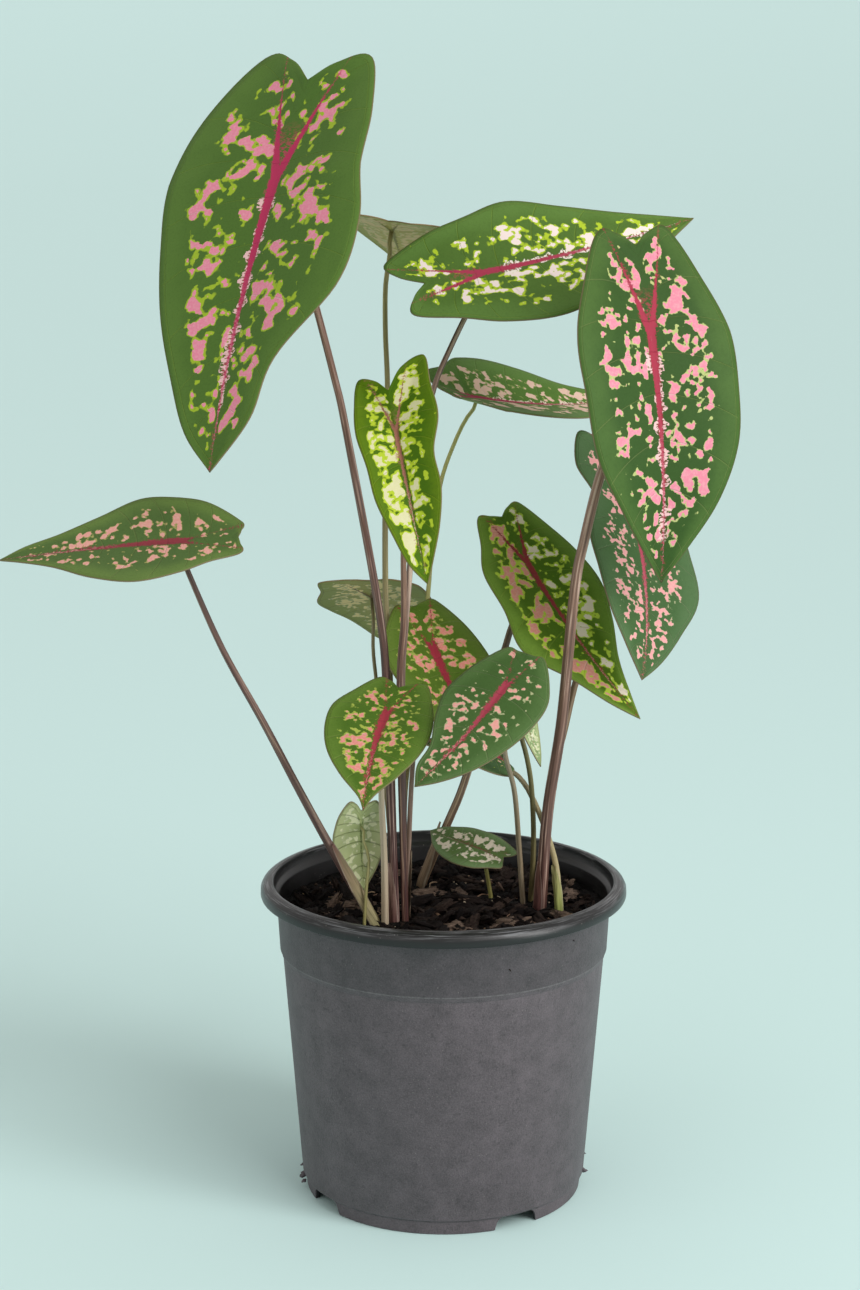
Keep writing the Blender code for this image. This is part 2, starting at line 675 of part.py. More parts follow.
def build_plant():
    clear_scene()
    root = bpy.data.objects.new("caladium", None)
    bpy.context.scene.collection.objects.link(root)
    pot_plastic = make_material("pot_plastic", (0.028, 0.029, 0.031), 0.52)
    mix_brown = make_material("potting_mix_brown", (0.045, 0.030, 0.022), 0.95)
    tuber_brown = make_material("tuber_skin", (0.16, 0.085, 0.045), 0.85)
    leaf_green = make_material("leaf_green", (0.075, 0.21, 0.035), 0.45)
    stem_brown = make_material("stem_brown", (0.23, 0.125, 0.105), 0.50)
    build_pot(root, pot_plastic)
    build_mix(root, mix_brown)
    for name, tuber in TUBERS.items():
        build_tuber(name, tuber, tuber_brown, root)
    for number, blade in BLADES.items():
        build_blade(number, blade, root, leaf_green)
        stem = STEMS[number]
        build_tube(f"stem_{number}", stem_points(stem, blade), stem.radii, stem_brown, root)


build_plant()
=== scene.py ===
"""The looks of a potted caladium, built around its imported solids.

Lengths are in millimetres and angles in degrees until they become meshes, which are in metres.
The pot's centre line is the Z axis, its foot stands at z = 0, and the viewer's side is -Y.
"""

import json
import math
import random
from typing import NamedTuple

import bmesh
import bpy
from bpy.props import FloatProperty, FloatVectorProperty, IntProperty, PointerProperty
from mathutils import Euler, Matrix, Vector, noise

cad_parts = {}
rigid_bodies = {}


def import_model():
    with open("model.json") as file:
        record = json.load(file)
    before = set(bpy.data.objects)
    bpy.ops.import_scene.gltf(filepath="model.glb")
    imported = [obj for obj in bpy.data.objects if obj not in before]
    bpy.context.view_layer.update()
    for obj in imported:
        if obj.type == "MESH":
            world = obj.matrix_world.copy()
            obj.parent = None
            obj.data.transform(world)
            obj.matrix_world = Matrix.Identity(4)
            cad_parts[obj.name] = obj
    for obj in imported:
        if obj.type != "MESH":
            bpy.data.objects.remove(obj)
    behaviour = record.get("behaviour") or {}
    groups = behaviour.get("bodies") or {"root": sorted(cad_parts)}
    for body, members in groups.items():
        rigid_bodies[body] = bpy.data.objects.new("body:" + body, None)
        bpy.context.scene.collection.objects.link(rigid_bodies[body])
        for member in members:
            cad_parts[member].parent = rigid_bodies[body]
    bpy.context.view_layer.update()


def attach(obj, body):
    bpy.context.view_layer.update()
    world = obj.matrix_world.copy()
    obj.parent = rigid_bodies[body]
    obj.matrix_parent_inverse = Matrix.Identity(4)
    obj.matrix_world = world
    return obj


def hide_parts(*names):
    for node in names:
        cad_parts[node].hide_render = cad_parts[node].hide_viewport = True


bl_info = {
    "name": "Potted Caladium",
    "version": (1, 0, 0),
    "blender": (4, 5, 0),
    "location": "3D View > Sidebar > Caladium",
    "description": "Dresses the solids of a potted caladium with leaves, stems, potting mix and pot",
    "category": "Object",
}

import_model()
MM = 0.001

# Pot and potting mix
POT_SIDES = 192
SHARP_ANGLE = 35.0
POT_HEIGHT = 149.0
LIP_RADIUS = 85.0
LIP_DEPTH = 6.8
LIP_THICKNESS = 6.2
WALL = 1.6
COLLAR_TOP_RADIUS = 77.6
COLLAR_FOOT_RADIUS = 76.2
COLLAR_FOOT_Z = 117.0
BODY_TOP_RADIUS = 74.9
BODY_TOP_Z = 114.0
BODY_FOOT_RADIUS = 66.6
FOOT_BAND_Z = 7.4
FOOT_RADIUS = 64.6
FOOT_RING_WIDTH = 2.4
FLOOR_TOP_Z = 5.0
PAD_RADIUS = 25.0
PAD_SLOPE = 7.0
NOTCH_TURNS = (-58.0, 31.0, 122.0, 211.0)
NOTCH_WIDTH = 25.0
NOTCH_HEIGHT = 6.4
DRAIN_RADIUS = 4.5
DRAIN_RING_RADIUS = 47.0
DRAIN_COUNT = 8
GAP = 0.35
MIX_Z = 134.5
MIX_WAVE = 1.3
MIX_SIDES = 180
STREWN_SHARE = 0.96
CROWN_Z = 112.0

# The least and the most of the three sides of what lies on the mix
CRUMB_SIDES = ((0.7, 3.0), (0.6, 2.6), (0.5, 1.9))
CHIP_SIDES = ((3.4, 20.0), (1.5, 6.5), (0.9, 3.6))
GRAIN_SIDES = ((0.6, 2.8), (0.5, 1.9), (0.5, 1.3))

# Leaves
STATIONS = (0.0, 0.22, 0.45, 0.67, 0.86)
BASAL_CREASE = 0.42
VEIN_LEAN = 0.28
ROW_STEPS = 8
SIDE_COLUMNS = 16
CAD_THICKNESS = 0.8
CREAM = (0.83, 0.78, 0.66)
DRY_MARGIN = (120, 84, 72)
DRY_MARGIN_BELOW = (128, 96, 80)

# Stage, in metres but for the floor
FLOOR_SIDES = 96
FLOOR_PROFILE = ((0.0, 0.0), (8000.0, 0.0), (14000.0, 150.0), (21000.0, 800.0), (30000.0, 2400.0))
SKY_COLOUR = (1.0, 0.99, 0.975, 1.0)
KEY_PLACE = (0.8, -0.75, 0.95)
KEY_SOFTNESS = 42.0
FILL_PLACE = (-0.8, -0.7, 0.6)
FILL_SOFTNESS = 60.0
PANEL_PLACE = (1.25, -0.75, 0.55)
PANEL_AIM = (0.0, 0.0, 0.12)
PANEL_SIZE = (0.45, 0.9)
CAMERA_ASIDE = -0.00626
CAMERA_HEIGHT = 0.5141
CAMERA_DIP = 11.975
SENSOR_HEIGHT = 36.0


class Blade(NamedTuple):
    """One leaf blade: the place of its junction with the stem, the way it faces, and its cut.

    Right and left are as seen from the junction to the tip, with the upper face upwards.
    The six widths of a side are at half the lobe, at the junction and at four stations to the tip.
    """

    at: tuple
    heading: float
    pitch: float
    roll: float
    length: float
    notch: float
    fold: float
    arch: float
    curl: float
    sweep: float
    lobes: tuple
    spread: tuple
    right: tuple
    left: tuple


class Stem(NamedTuple):
    """One stem: its foot on the mix, its radius at the foot and at the top, and the points it passes."""

    foot: tuple
    radii: tuple
    via: tuple


class Tuber(NamedTuple):
    """A tuber: the middle of its flat crown, its radius and its height."""

    at: tuple
    radius: float
    height: float


TUBERS = {
    "tuber_front": Tuber(at=(-27.0, -20.0), radius=20.0, height=26.0),
    "tuber_back": Tuber(at=(-12.0, 34.0), radius=13.0, height=19.0),
    "tuber_right": Tuber(at=(39.0, 4.0), radius=24.0, height=28.0),
}


class Look(NamedTuple):
    """The colours of one leaf, as the eye gives them in steps of 0 to 255, and how its blotches lie.

    Green and edge are the ground of the upper face inside and near the margin. Under, back and vein are
    the ground, the blotches and the veins of the lower face.
    Cover says how much of the band between rib and margin is blotched, grain how large a blotch is, rim
    how wide its pale edge is, and streak how far it is drawn out along the side veins. Basal says how far
    the basal veins are coloured, feather how strongly cream flecks show beside the midrib, and cream how
    far the blotches of one half are cream: the right half above 0, the left half below.
    """

    green: tuple = (78, 108, 50)
    edge: tuple = (96, 126, 58)
    blotch: tuple = (216, 152, 156)
    halo: tuple = (156, 176, 60)
    rib: tuple = (172, 56, 84)
    under: tuple = (150, 164, 122)
    back: tuple = (196, 174, 150)
    vein: tuple = (148, 136, 84)
    cover: float = 0.5
    grain: float = 1.0
    rim: float = 0.03
    rib_width: float = 1.0
    basal: float = 1.0
    feather: float = 0.5
    streak: float = 1.0
    cream: float = 0.0


class Sheath(NamedTuple):
    """A dry or green leaf base round the foot of a stem: heights over the mix, facing turn and spread in
    degrees, space round the stem, and its colours at the foot and at the tip.
    """

    stem: str
    height: float
    facing: float
    spread: float
    space: float
    foot: tuple
    tip: tuple


class Bark(NamedTuple):
    """The colours of a stem at its foot and at its top, and of its pale streaks, and how strongly pale
    streaks and dark lines show on it.
    """

    foot: tuple = (112, 84, 76)
    top: tuple = (128, 98, 84)
    streak: tuple = (176, 150, 134)
    streaks: float = 0.85
    lines: float = 0.75


BLADES = {
    "01": Blade(
        at=(-75, 8, 469), heading=-114, pitch=-53, roll=-11, length=149, notch=53,
        fold=12, arch=2, curl=0.12, sweep=-10, lobes=(70, 66), spread=(34, 29),
        right=(53, 57, 50, 40, 27, 15), left=(43, 49, 57, 53, 27, 19)),
    "02": Blade(
        at=(-24, 66, 444), heading=85, pitch=-15, roll=-9, length=62, notch=18,
        fold=12, arch=8, curl=0.04, sweep=0, lobes=(25, 28), spread=(14, 14),
        right=(23, 25, 24, 20, 13, 6), left=(23, 25, 24, 20, 13, 6)),
    "03": Blade(
        at=(19, 26, 427), heading=16, pitch=10, roll=-41, length=110, notch=29,
        fold=7, arch=8, curl=0.03, sweep=-14, lobes=(38, 44), spread=(17, 16),
        right=(25, 34, 37, 29, 18, 7), left=(28, 33, 37, 27, 16, 7)),
    "04": Blade(
        at=(91, -18, 402), heading=-64, pitch=-72, roll=2, length=112, notch=42,
        fold=12, arch=33, curl=0.06, sweep=-7, lobes=(49, 52), spread=(17, 20),
        right=(31, 41, 40, 36, 23, 10), left=(30, 38, 39, 37, 27, 12)),
    "05": Blade(
        at=(-21, -42, 363), heading=-76, pitch=-48, roll=-22, length=73, notch=22,
        fold=19, arch=17, curl=0.02, sweep=0, lobes=(32, 38), spread=(13, 18),
        right=(16, 17, 15, 14, 10, 6), left=(19, 20, 15, 15, 11, 5)),
    "06": Blade(
        at=(16, 52, 367), heading=29, pitch=-11, roll=-18, length=93, notch=20,
        fold=15, arch=-5, curl=0.03, sweep=-24, lobes=(6, 21), spread=(18, 19),
        right=(29, 32, 33, 29, 18, 8), left=(24, 31, 33, 27, 16, 9)),
    "07": Blade(
        at=(40, 46, 289), heading=-53, pitch=-42, roll=-9, length=95, notch=29,
        fold=4, arch=2, curl=0.05, sweep=-12, lobes=(31, 36), spread=(12, 13),
        right=(18, 25, 26, 30, 17, 8), left=(22, 28, 30, 23, 12, 5)),
    "08": Blade(
        at=(88, 42, 318), heading=-71, pitch=-52, roll=19, length=95, notch=24,
        fold=6, arch=3, curl=0.04, sweep=24, lobes=(40, 40), spread=(18, 18),
        right=(28, 23, 31, 28, 22, 11), left=(32, 26, 28, 30, 19, 9)),
    "09": Blade(
        at=(-116, -42, 315), heading=-179, pitch=-4, roll=30, length=81, notch=26,
        fold=8, arch=10, curl=0.03, sweep=6, lobes=(28, 27), spread=(11, 10),
        right=(23, 27, 28, 19, 11, 6), left=(16, 24, 28, 22, 11, 4)),
    "10": Blade(
        at=(-34, 60, 271), heading=76, pitch=-27, roll=9, length=73, notch=28,
        fold=3, arch=5, curl=0.06, sweep=-9, lobes=(24, 33), spread=(15, 17),
        right=(24, 26, 26, 21, 14, 6), left=(21, 27, 24, 18, 13, 8)),
    "11": Blade(
        at=(-4, 16, 253), heading=-62, pitch=-41, roll=-2, length=56, notch=28,
        fold=6, arch=12, curl=0.05, sweep=-8, lobes=(29, 32), spread=(10, 12),
        right=(20, 26, 25, 21, 15, 6), left=(20, 24, 25, 21, 15, 7)),
    "12": Blade(
        at=(-26, -48, 238), heading=-106, pitch=-26, roll=7, length=60, notch=20,
        fold=8, arch=5, curl=0.05, sweep=-12, lobes=(25, 26), spread=(11, 12),
        right=(18, 24, 24, 20, 12, 3), left=(18, 22, 23, 20, 13, 4)),
    "13": Blade(
        at=(26, -54, 252), heading=-131, pitch=-36, roll=18, length=63, notch=21,
        fold=0, arch=2, curl=0.06, sweep=13, lobes=(21, 21), spread=(10, 9),
        right=(17, 21, 23, 18, 10, 7), left=(17, 22, 22, 19, 14, 7)),
    "14": Blade(
        at=(24, -19, 212), heading=-140, pitch=20, roll=36, length=48, notch=4,
        fold=10, arch=6, curl=0.04, sweep=0, lobes=(7, 8), spread=(5, 6),
        right=(8, 9, 9, 8, 5, 2), left=(10, 14, 15, 12, 7, 3)),
    "15": Blade(
        at=(32, -12, 239), heading=-45, pitch=-56, roll=0, length=35, notch=9,
        fold=12, arch=10, curl=0.04, sweep=0, lobes=(18, 22), spread=(5, 6),
        right=(9, 10, 9, 6, 4, 2), left=(8, 10, 9, 6, 4, 2)),
    "16": Blade(
        at=(19, 8, 160), heading=155, pitch=12, roll=24, length=35, notch=10,
        fold=2, arch=28, curl=0.07, sweep=26, lobes=(15, 11), spread=(6, 7),
        right=(10, 12, 12, 11, 8, 5), left=(10, 13, 14, 12, 8, 3)),
    "17": Blade(
        at=(-38, -15, 178), heading=101, pitch=-82, roll=3, length=31, notch=8,
        fold=6, arch=25, curl=0.04, sweep=3, lobes=(13, 13), spread=(7, 6),
        right=(10, 11, 11, 10, 7, 3), left=(10, 12, 13, 11, 7, 3)),
}

STEMS = {
    "01": Stem(
        foot=(-22.2, -23.5), radii=(2.1, 1.5),
        via=((-24, -21, 192), (-26, -17, 248), (-28, -15, 271), (-33, -11, 301), (-45, -1, 364),
             (-48, 2, 377), (-57, 9, 411), (-65, 14, 438))),
    "02": Stem(
        foot=(-22.2, -19.0), radii=(1.7, 1.1),
        via=((-24, -4, 206), (-25, 22, 243), (-26, 30, 260), (-27, 31, 280), (-27, 36, 326),
             (-26, 42, 371), (-27, 50, 397), (-27, 58, 418), (-25, 62, 432))),
    "03": Stem(
        foot=(-17.6, -19.0), radii=(1.6, 1.2),
        via=((-19, -14, 237), (-17, -13, 274), (-15, -9, 301), (-14, -3, 327), (-10, 6, 353),
             (-4, 16, 377), (3, 22, 393), (10, 26, 407), (15, 28, 415))),
    "04": Stem(
        foot=(45.0, -2.2), radii=(2.8, 2.0),
        via=((48, -4, 182), (54, -7, 226), (59, -11, 287), (63, -12, 310), (71, -14, 344),
             (85, -16, 378))),
    "05": Stem(
        foot=(-17.6, -23.5), radii=(1.6, 1.2),
        via=((-20, -20, 238), (-18, -22, 276), (-18, -27, 304), (-18, -31, 322), (-20, -36, 345))),
    "06": Stem(
        foot=(-17.6, -10.0), radii=(1.4, 0.9),
        via=((-18, -2, 187), (-13, 20, 224), (-9, 40, 254), (-7, 47, 276), (-5, 51, 299),
             (-1, 54, 327), (6, 54, 347), (11, 54, 357))),
    "07": Stem(
        foot=(-10.6, 35.0), radii=(2.2, 1.4),
        via=((2, 39, 164), (10, 43, 183), (22, 50, 222), (30, 54, 248), (33, 54, 258),
             (39, 52, 274))),
    "08": Stem(
        foot=(44.2, 4.9), radii=(1.8, 1.4),
        via=((51, 13, 192), (57, 28, 213), (63, 40, 234), (74, 50, 266), (85, 50, 302))),
    "09": Stem(
        foot=(-31.2, -26.0), radii=(2.3, 1.1),
        via=((-51, -30, 172), (-65, -33, 200), (-80, -36, 231), (-98, -39, 266), (-113, -42, 303))),
    "10": Stem(
        foot=(-22.2, -14.5), radii=(1.1, 0.8),
        via=((-25, -7, 174), (-28, 6, 204), (-31, 26, 233), (-33, 38, 249), (-33, 46, 262))),
    "11": Stem(
        foot=(-17.6, -14.5), radii=(1.3, 1.0),
        via=((-14, -1, 206), (-9, 14, 231), (-5, 22, 244))),
    "12": Stem(
        foot=(-26.8, -27.0), radii=(1.8, 1.1),
        via=((-27, -32, 169), (-28, -38, 200), (-27, -43, 223))),
    "13": Stem(
        foot=(37.3, 7.0), radii=(1.3, 1.1),
        via=((35, -6, 163), (32, -26, 197), (27, -44, 220), (26, -51, 239))),
    "14": Stem(
        foot=(53.6, -7.0), radii=(1.5, 1.1),
        via=((53, 4, 150), (50, 14, 162), (45, 13, 176), (41, 8, 186), (37, 3, 194),
             (31, -3, 201))),
    "15": Stem(
        foot=(41.0, 11.5), radii=(1.3, 1.1),
        via=((42, 6, 161), (41, -2, 187), (39, -7, 204), (35, -11, 220))),
    "16": Stem(
        foot=(22.6, 15.0), radii=(1.0, 0.9),
        via=((20, 11, 150),)),
    "17": Stem(
        foot=(-36.3, -31.5), radii=(0.8, 0.6),
        via=((-35, -30, 155), (-34, -27, 166), (-37, -21, 174))),
}

LOOKS = {
    "01": Look(green=(76, 106, 42), edge=(86, 116, 48), blotch=(222, 130, 152), halo=(164, 186, 46),
        rib=(184, 52, 90), feather=1.0, rim=0.036, rib_width=1.05, cover=0.42),
    "02": Look(under=(166, 150, 88), back=(196, 164, 120), cover=0.75, vein=(104, 96, 50)),
    "03": Look(green=(80, 110, 44), edge=(92, 124, 56), blotch=(240, 220, 214), halo=(186, 208, 48),
        cover=0.36, rim=0.045, grain=1.1, rib=(176, 60, 84), feather=0.8),
    "04": Look(green=(54, 82, 34), edge=(74, 102, 46), blotch=(226, 132, 152), halo=(190, 196, 124),
        rib=(170, 54, 74), rim=0.018, cover=0.45, rib_width=1.15, feather=1.0),
    "05": Look(green=(70, 104, 8), edge=(92, 120, 14), blotch=(212, 206, 160), halo=(188, 206, 52),
        cover=0.6, rib=(158, 104, 86), rim=0.06, feather=0.3, streak=1.7, grain=1.6),
    "06": Look(green=(84, 120, 44), edge=(96, 130, 58), blotch=(230, 190, 172), halo=(150, 160, 90),
        cover=0.56, rim=0.02, grain=1.2, streak=1.3),
    "07": Look(green=(78, 108, 24), edge=(112, 142, 54), blotch=(216, 142, 128), halo=(190, 210, 72),
        cover=0.56, rim=0.05, rib=(150, 56, 60), grain=1.25, rib_width=1.1, cream=-0.8, feather=0.15),
    "08": Look(green=(66, 96, 54), edge=(80, 108, 68), blotch=(224, 152, 152), halo=(170, 170, 132),
        rib=(182, 76, 94), rim=0.015, rib_width=1.2, grain=0.75, feather=0.15),
    "09": Look(green=(78, 102, 52), edge=(98, 122, 60), blotch=(214, 150, 138), halo=(160, 156, 92),
        rib=(140, 58, 66), rim=0.02, rib_width=1.6, basal=0.4, cover=0.42, grain=1.1, feather=0.2),
    "10": Look(under=(152, 144, 84), back=(228, 198, 140), cover=0.7, vein=(96, 66, 56)),
    "11": Look(green=(80, 106, 30), edge=(98, 120, 48), blotch=(214, 132, 118), halo=(160, 168, 80),
        cover=0.52, rib=(156, 48, 62), rim=0.035, grain=1.1, rib_width=2.0, basal=0.4, feather=0.1),
    "12": Look(green=(72, 102, 30), edge=(94, 122, 46), blotch=(212, 132, 122), halo=(166, 178, 78),
        cover=0.42, rib=(158, 54, 66), rim=0.045, grain=1.1, rib_width=1.9, basal=0.4, streak=1.5,
        feather=0.1),
    "13": Look(green=(66, 94, 46), edge=(82, 110, 60), blotch=(222, 152, 142), halo=(176, 178, 134),
        cover=0.3, rib=(164, 62, 78), rim=0.025, rib_width=1.8, basal=0.4, grain=1.15, streak=1.3,
        feather=0.12),
    "14": Look(green=(56, 84, 44), edge=(70, 98, 54), cover=0.0),
    "15": Look(green=(130, 152, 104), edge=(168, 180, 128), blotch=(200, 200, 160), halo=(180, 190, 140),
        rib=(150, 140, 90)),
    "16": Look(green=(82, 104, 56), edge=(104, 128, 84), blotch=(204, 190, 172), halo=(150, 156, 124),
        rib=(110, 84, 64), cover=0.62, grain=1.7, rim=0.02, feather=0.2, rib_width=0.6),
    "17": Look(green=(110, 124, 72), edge=(226, 228, 178), under=(176, 186, 130), back=(232, 232, 190),
        grain=1.8, rib_width=0.7, vein=(96, 110, 62)),
}

BARKS = {
    "01": Bark(foot=(66, 34, 36), top=(130, 95, 78), streak=(190, 160, 146)),
    "02": Bark(foot=(104, 86, 62), top=(156, 142, 94), streak=(180, 164, 122), lines=0.3),
    "03": Bark(foot=(70, 38, 38), top=(146, 116, 100), streak=(196, 172, 152)),
    "04": Bark(foot=(74, 42, 40), top=(164, 126, 104), streak=(202, 172, 154), lines=0.6),
    "05": Bark(foot=(72, 40, 38), top=(128, 92, 74), streak=(180, 148, 126)),
    "06": Bark(foot=(104, 84, 50), top=(178, 170, 100), streak=(190, 182, 120), lines=0.35),
    "07": Bark(foot=(124, 100, 78), top=(97, 68, 52), streak=(168, 146, 118)),
    "08": Bark(foot=(116, 88, 70), top=(128, 104, 72), streak=(164, 140, 110), lines=0.5),
    "09": Bark(foot=(97, 68, 61), top=(103, 74, 65), streak=(158, 132, 112)),
    "10": Bark(foot=(116, 100, 66), top=(116, 106, 78), streak=(146, 134, 100), lines=0.35),
    "11": Bark(foot=(120, 94, 78), top=(126, 100, 84)),
    "12": Bark(foot=(186, 168, 140), top=(188, 168, 146), streak=(206, 190, 166), lines=0.35),
    "13": Bark(foot=(150, 132, 104), top=(140, 122, 102), streak=(186, 172, 150), lines=0.35),
    "14": Bark(foot=(176, 166, 118), top=(134, 112, 88), streak=(196, 184, 148), lines=0.35),
    "15": Bark(foot=(112, 100, 66), top=(104, 98, 60), streak=(140, 132, 92), lines=0.35),
    "16": Bark(foot=(168, 160, 92), top=(150, 146, 84), streak=(190, 184, 130), lines=0.35),
    "17": Bark(foot=(158, 148, 92), top=(140, 138, 86), streak=(178, 172, 128), lines=0.35),
}


# Settings


class LeafSettings(bpy.types.PropertyGroup):
    """Sizes that all the leaves share."""

    thickness: FloatProperty(
        name="Blade thickness", description="Thickness of a blade between its veins",
        default=0.00055, min=0.0002, max=0.0008, unit="LENGTH",
    )
    rib_height: FloatProperty(
        name="Rib height", description="How far the main veins stand out under a blade at the stem",
        default=0.0011, min=0.0, unit="LENGTH",
    )
    quilting: FloatProperty(
        name="Quilting", description="How far a blade bulges up between its side veins",
        default=0.00035, min=0.0, unit="LENGTH",
    )


class StemSettings(bpy.types.PropertyGroup):
    """Sizes that all the stems share."""

    ridge: FloatProperty(
        name="Ridges", description="Height of the ridges along a stem, as a share of its radius",
        default=0.05, min=0.0, max=0.2, subtype="FACTOR",
    )


class MixSettings(bpy.types.PropertyGroup):
    """What lies on and in the potting mix, and its colours."""

    crumbs: IntProperty(name="Crumbs", description="Small crumbs on the surface", default=2600, min=0)
    chips: IntProperty(name="Bark chips", description="Bark chips on the surface", default=560, min=0)
    grains: IntProperty(
        name="Pale grains", description="Pale bits of wood and grains on the surface", default=90, min=0,
    )
    rootlets: IntProperty(name="Rootlets", description="Fine roots on the surface", default=46, min=0)
    # The dark colour is partly the moist mix and partly painted shade in the gaps between chips and crumbs.
    dark: FloatVectorProperty(
        name="Dark colour", description="Colour of the moist mix in its hollows",
        default=(0.0028, 0.0024, 0.0023), min=0.0, max=1.0, subtype="COLOR",
    )
    brown: FloatVectorProperty(
        name="Brown colour", description="Colour of the mix where it has dried",
        default=(0.019, 0.0145, 0.0125), min=0.0, max=1.0, subtype="COLOR",
    )


class PotSettings(bpy.types.PropertyGroup):
    """The pot's plastic."""

    plastic: FloatVectorProperty(
        name="Plastic colour", description="Colour of the pot's plastic",
        default=(0.01, 0.0095, 0.0098), min=0.0, max=1.0, subtype="COLOR",
    )
    chalk: FloatVectorProperty(
        name="Chalked colour", description="Colour of the weathered outside of the wall",
        default=(0.14, 0.112, 0.125), min=0.0, max=1.0, subtype="COLOR",
    )
    roughness: FloatProperty(
        name="Roughness", description="Roughness of the clean plastic", default=0.42, min=0.0, max=1.0,
        subtype="FACTOR",
    )


class StageSettings(bpy.types.PropertyGroup):
    """The floor, the light and the camera."""

    floor: FloatVectorProperty(
        name="Floor colour", description="Colour of the plain floor",
        default=(0.60, 0.79, 0.765), min=0.0, max=1.0, subtype="COLOR",
    )
    sky_strength: FloatProperty(
        name="Sky", description="Strength of the even light from all sides", default=0.6, min=0.0,
    )
    key_strength: FloatProperty(
        name="Key light", description="Strength of the soft light from the right in front",
        default=1.3, min=0.0,
    )
    fill_strength: FloatProperty(
        name="Fill light", description="Strength of the softer light from the left", default=0.3, min=0.0,
    )
    panel_power: FloatProperty(
        name="Side panel", description="Power of the upright light panel on the right",
        default=9.0, min=0.0, subtype="POWER",
    )
    camera_distance: FloatProperty(
        name="Camera distance", description="How far the camera stands in front of the pot's centre",
        default=1.2, min=0.3, unit="LENGTH",
    )
    focal_length: FloatProperty(
        name="Focal length", description="The camera's focal length in millimetres",
        default=74.95, min=10.0,
    )


class CaladiumSettings(bpy.types.PropertyGroup):
    """All the settings of the plant and its stage."""

    leaves: PointerProperty(type=LeafSettings)
    stems: PointerProperty(type=StemSettings)
    mix: PointerProperty(type=MixSettings)
    pot: PointerProperty(type=PotSettings)
    stage: PointerProperty(type=StageSettings)


# Shaders


def colour_of(eye):
    """The light of a colour that the eye sees as these steps of 0 to 255."""
    shares = [step / 255.0 for step in eye]
    return tuple(s / 12.92 if s <= 0.04045 else ((s + 0.055) / 1.055) ** 2.4 for s in shares)


def pale(eye, share):
    """The light of a colour that is this share of the way to cream."""
    return tuple(between(step, cream, share) for step, cream in zip(colour_of(eye), CREAM))


def darker(eye, share):
    """The light of a colour, with this share of its strength left."""
    return tuple(step * share for step in colour_of(eye))


class Signal:
    """A number that varies over a surface: a shader socket on which Python's arithmetic adds Math nodes."""

    def __init__(self, finish, socket):
        self.finish = finish
        self.socket = socket

    def math(self, operation, *values):
        inputs = dict(enumerate((self, *values)))
        return self.finish.node("ShaderNodeMath", {"operation": operation}, inputs)

    def __add__(self, other):
        return self.math("ADD", other)

    __radd__ = __add__

    def __mul__(self, other):
        return self.math("MULTIPLY", other)

    __rmul__ = __mul__

    def __sub__(self, other):
        return self.math("SUBTRACT", other)

    def __rsub__(self, other):
        return (self * -1.0) + other

    def __truediv__(self, other):
        return self.math("DIVIDE", other)

    def __pow__(self, other):
        return self.math("POWER", other)

    def __abs__(self):
        return self.math("ABSOLUTE")

    def above(self, limit):
        return self.math("GREATER_THAN", limit)

    def larger(self, other):
        return self.math("MAXIMUM", other)

    def between(self, low, high):
        """Rises smoothly from 0 where this is low to 1 where it is high."""
        settings = {"interpolation_type": "SMOOTHSTEP"}
        return self.finish.node("ShaderNodeMapRange", settings, {0: self, 1: low, 2: high})


class Finish:
    """A material in the making, with its one Principled shader."""

    def __init__(self, name):
        self.material = bpy.data.materials.new(name)
        self.material.use_nodes = True
        self.tree = self.material.node_tree
        self.shader = self.tree.nodes["Principled BSDF"]

    def fill(self, socket, value):
        if isinstance(value, Signal):
            self.tree.links.new(value.socket, socket)
        elif socket.type == "RGBA":
            socket.default_value = (*value, 1.0)
        else:
            socket.default_value = value

    def node(self, kind, settings=None, inputs=None, output=0):
        """Adds a node, sets its settings, then its inputs to numbers, colours or signals."""
        node = self.tree.nodes.new(kind)
        for name, value in (settings or {}).items():
            setattr(node, name, value)
        for key, value in (inputs or {}).items():
            self.fill(node.inputs[key], value)
        return Signal(self, node.outputs[output])

    def set(self, **sockets):
        """Gives the Principled shader its values, named like base_color or coat_weight."""
        names = {"specular_ior_level": "Specular IOR Level"}
        for name, value in sockets.items():
            self.fill(self.shader.inputs[names.get(name, name.replace("_", " ").title())], value)

    def attribute(self, name):
        return self.node("ShaderNodeAttribute", {"attribute_name": name}, output="Vector")

    def number(self, name):
        return self.node("ShaderNodeAttribute", {"attribute_name": name}, output="Fac")

    def place(self):
        """The place on the standing object, in millimetres."""
        return self.scaled(self.node("ShaderNodeTexCoord", output="Object"), (1.0 / MM, 1.0 / MM, 1.0 / MM))

    def split(self, vector):
        node = self.tree.nodes.new("ShaderNodeSeparateXYZ")
        self.fill(node.inputs[0], vector)
        return [Signal(self, socket) for socket in node.outputs]

    def join(self, x, y, z=0.0):
        return self.node("ShaderNodeCombineXYZ", None, {0: x, 1: y, 2: z})

    def scaled(self, vector, scale, offset=(0.0, 0.0, 0.0)):
        return self.node("ShaderNodeMapping", None, {"Vector": vector, "Scale": scale, "Location": offset})

    def noise(self, vector, scale, detail=2.0, roughness=0.5, distortion=0.0):
        return self.node("ShaderNodeTexNoise", None, {
            "Vector": vector, "Scale": scale, "Detail": detail, "Roughness": roughness,
            "Distortion": distortion})

    def areoles(self, place, scale):
        """The middle of the mesh of small veins that each place lies in."""
        return self.node("ShaderNodeTexVoronoi", None, {"Vector": place, "Scale": scale}, "Position")

    def specks(self, place, scale):
        """How far each place is from the nearest of many scattered specks."""
        return self.node("ShaderNodeTexVoronoi", None, {"Vector": place, "Scale": scale}, "Distance")

    def mixed(self, share, first, second):
        """A colour on the way from the first to the second."""
        return self.node("ShaderNodeMix", {"data_type": "RGBA"}, {0: share, 6: first, 7: second}, output=2)

    def bump(self, height, distance, strength):
        self.set(normal=self.node("ShaderNodeBump", None, {
            "Height": height, "Distance": distance, "Strength": strength}))


